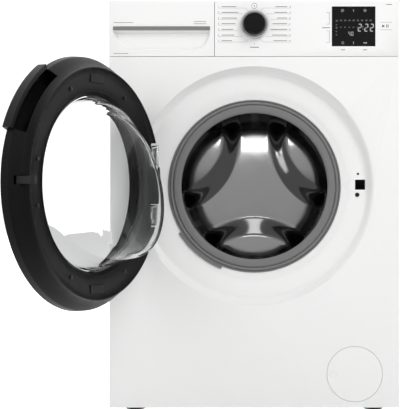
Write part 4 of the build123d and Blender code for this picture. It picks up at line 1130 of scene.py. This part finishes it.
def make_surround():
    """White surround, dim on the side that the machine faces, with a grey patch straight ahead."""
    world = bpy.data.worlds.new("surround")
    world.use_nodes = True
    tree = world.node_tree
    parts = tree.nodes.new("ShaderNodeSeparateXYZ")
    tree.links.new(tree.nodes.new("ShaderNodeTexCoord").outputs["Generated"], parts.inputs[0])
    side = math_node(tree, "ABSOLUTE", parts.outputs["X"])
    across = map_range(tree, side, 0.12, 0.32, 0.36, 0.0)
    above = map_range(tree, parts.outputs["Z"], 0.10, 0.30, 1.0, 0.0)
    below = map_range(tree, parts.outputs["Z"], -0.06, -0.01, 0.0, 1.0)
    patch = math_node(tree, "MULTIPLY", math_node(tree, "MULTIPLY", across, above), below)
    back = map_range(tree, parts.outputs["Y"], -0.75, 0.1, 0.12, 1.05)
    strength = math_node(tree, "ADD", back, patch)
    straight = tree.nodes.new("ShaderNodeLightPath").outputs["Is Camera Ray"]
    background = tree.nodes["Background"]
    tree.links.new(math_node(tree, "MAXIMUM", strength, straight), background.inputs["Strength"])
    background.inputs["Color"].default_value = (1, 1, 1, 1)
    bpy.context.scene.world = world


def map_range(tree, value, low, high, first, last):
    """A clamped straight line from one range to another."""
    node = tree.nodes.new("ShaderNodeMapRange")
    for name, number in zip(("From Min", "From Max", "To Min", "To Max"), (low, high, first, last)):
        node.inputs[name].default_value = number
    tree.links.new(value, node.inputs["Value"])
    return node.outputs["Result"]


def make_stage():
    """Pale floor, even white surround, soft lights and the camera."""
    sizes = bpy.context.scene.washer_sizes
    bpy.ops.mesh.primitive_plane_add(size=24, location=(0, 0, 0))
    floor = bpy.context.object
    floor.name = "floor"
    paint = bpy.data.materials.new("floor_paint")
    paint.use_nodes = True
    surface = paint.node_tree.nodes["Principled BSDF"]
    surface.inputs["Base Color"].default_value = (0.80, 0.80, 0.80, 1)
    surface.inputs["Roughness"].default_value = 0.9
    surface.inputs["Emission Color"].default_value = (1, 1, 1, 1)
    straight = paint.node_tree.nodes.new("ShaderNodeLightPath").outputs["Is Camera Ray"]
    paint.node_tree.links.new(straight, surface.inputs["Emission Strength"])
    floor.data.materials.append(paint)
    floor.visible_glossy = False
    make_surround()
    area_light("key_light", (2.2, -3.8, 3.8), (0, 0, 0.45), 2.4, 132)
    area_light("side_light", (-2.8, -4.2, 1.6), (0, 0, 0.4), 3.0, 60)
    camera_y = FRONT - sizes.camera_distance - 0.02
    strip_light("strip_light", (0, camera_y, 0.722), (0.30, 0.050), 0.22)
    strip_light("tall_light", (0, camera_y - 0.1, 1.62), (0.30, 0.85), 0.9)
    area_light("high_light", (0.0, -1.2, 3.4), (0, -0.3, 0.5), 1.6, 6)
    bpy.context.scene.view_settings.view_transform = "Standard"
    camera = bpy.data.objects.new("camera", bpy.data.cameras.new("camera"))
    bpy.context.scene.collection.objects.link(camera)
    camera.location = (0, FRONT - sizes.camera_distance, sizes.camera_height)
    camera.rotation_euler = (pi / 2, 0, 0)
    camera.data.sensor_width = 36
    camera.data.sensor_fit = "HORIZONTAL"
    camera.data.lens = 94.3
    camera.data.shift_x = -0.136
    camera.data.shift_y = 0.0
    bpy.context.scene.camera = camera


# ---------------------------------------------------------------- add-on


class WASHER_OT_stage(bpy.types.Operator):
    """Set up the floor, the lights and the camera."""

    bl_idname = "washer.stage"
    bl_label = "Stage"

    def execute(self, context):
        make_stage()
        return {"FINISHED"}


class WASHER_OT_cabinet(bpy.types.Operator):
    """Finish the painted cabinet, its panel, top, ports and feet."""

    bl_idname = "washer.cabinet"
    bl_label = "Cabinet"

    def execute(self, context):
        make_cabinet()
        return {"FINISHED"}


class WASHER_OT_rear(bpy.types.Operator):
    """Build the service panel's screws and louvres."""

    bl_idname = "washer.rear"
    bl_label = "Rear panel"

    def execute(self, context):
        make_rear()
        return {"FINISHED"}


class WASHER_OT_works(bpy.types.Operator):
    """Finish the tub, motor, pump, hoses and other inner pieces."""

    bl_idname = "washer.works"
    bl_label = "Inner works"

    def execute(self, context):
        make_works()
        return {"FINISHED"}


class WASHER_OT_panel(bpy.types.Operator):
    """Build the fascia and the marks printed round the dial."""

    bl_idname = "washer.panel"
    bl_label = "Control panel"

    def execute(self, context):
        make_panel()
        return {"FINISHED"}


class WASHER_OT_dial(bpy.types.Operator):
    """Build the programme dial with its grip ribs and pointer."""

    bl_idname = "washer.dial"
    bl_label = "Dial"

    def execute(self, context):
        make_dial()
        return {"FINISHED"}


class WASHER_OT_display(bpy.types.Operator):
    """Build the display's figures and the touch fields."""

    bl_idname = "washer.display"
    bl_label = "Display"

    def execute(self, context):
        make_display()
        return {"FINISHED"}


class WASHER_OT_drawer(bpy.types.Operator):
    """Build the drawer's front, grip, tray and siphon."""

    bl_idname = "washer.drawer"
    bl_label = "Detergent drawer"

    def execute(self, context):
        make_drawer()
        return {"FINISHED"}


class WASHER_OT_service(bpy.types.Operator):
    """Finish the flap in front of the pump filter."""

    bl_idname = "washer.service"
    bl_label = "Service flap"

    def execute(self, context):
        make_service()
        return {"FINISHED"}


class WASHER_OT_seal(bpy.types.Operator):
    """Build the rubber door seal."""

    bl_idname = "washer.seal"
    bl_label = "Door seal"

    def execute(self, context):
        make_seal()
        return {"FINISHED"}


class WASHER_OT_drum(bpy.types.Operator):
    """Build the drum's shell, front and lifters, and black cups of painted shade for its holes."""

    bl_idname = "washer.drum"
    bl_label = "Drum"

    def execute(self, context):
        make_drum()
        return {"FINISHED"}


class WASHER_OT_drum_back(bpy.types.Operator):
    """Build the pressed back of the drum."""

    bl_idname = "washer.drum_back"
    bl_label = "Drum back"

    def execute(self, context):
        make_drum_back()
        return {"FINISHED"}


class WASHER_OT_door(bpy.types.Operator):
    """Build the door's trim, frame, grip and small details."""

    bl_idname = "washer.door"
    bl_label = "Door"

    def execute(self, context):
        make_door()
        return {"FINISHED"}


class WASHER_OT_bowl(bpy.types.Operator):
    """Build the pressed glass bowl."""

    bl_idname = "washer.bowl"
    bl_label = "Glass bowl"

    def execute(self, context):
        make_bowl()
        return {"FINISHED"}


class WASHER_OT_hinge(bpy.types.Operator):
    """Finish the chrome hinge."""

    bl_idname = "washer.hinge"
    bl_label = "Hinge"

    def execute(self, context):
        make_hinge()
        return {"FINISHED"}


class WASHER_PT_panel(bpy.types.Panel):
    """Lists the sizes, the finishes and the operators in order."""

    bl_idname = "WASHER_PT_panel"
    bl_label = "Front load washer"
    bl_space_type = "VIEW_3D"
    bl_region_type = "UI"
    bl_category = "Washer"

    def draw(self, context):
        for group in (context.scene.washer_sizes, context.scene.washer_finish):
            for name in group.__annotations__:
                self.layout.prop(group, name)
        for step in OPERATORS:
            self.layout.operator(step.bl_idname)


OPERATORS = (
    WASHER_OT_stage,
    WASHER_OT_cabinet,
    WASHER_OT_rear,
    WASHER_OT_works,
    WASHER_OT_panel,
    WASHER_OT_dial,
    WASHER_OT_display,
    WASHER_OT_drawer,
    WASHER_OT_service,
    WASHER_OT_seal,
    WASHER_OT_drum,
    WASHER_OT_drum_back,
    WASHER_OT_door,
    WASHER_OT_bowl,
    WASHER_OT_hinge,
)
CLASSES = (WasherFinish, WasherSizes, *OPERATORS, WASHER_PT_panel)


def register():
    for one in CLASSES:
        bpy.utils.register_class(one)
    bpy.types.Scene.washer_sizes = bpy.props.PointerProperty(type=WasherSizes)
    bpy.types.Scene.washer_finish = bpy.props.PointerProperty(type=WasherFinish)


def unregister():
    del bpy.types.Scene.washer_finish
    del bpy.types.Scene.washer_sizes
    for one in reversed(CLASSES):
        bpy.utils.unregister_class(one)


def main():
    register()
    for step in OPERATORS:
        group, name = step.bl_idname.split(".")
        getattr(getattr(bpy.ops, group), name)()


if __name__ == "__main__":
    main()
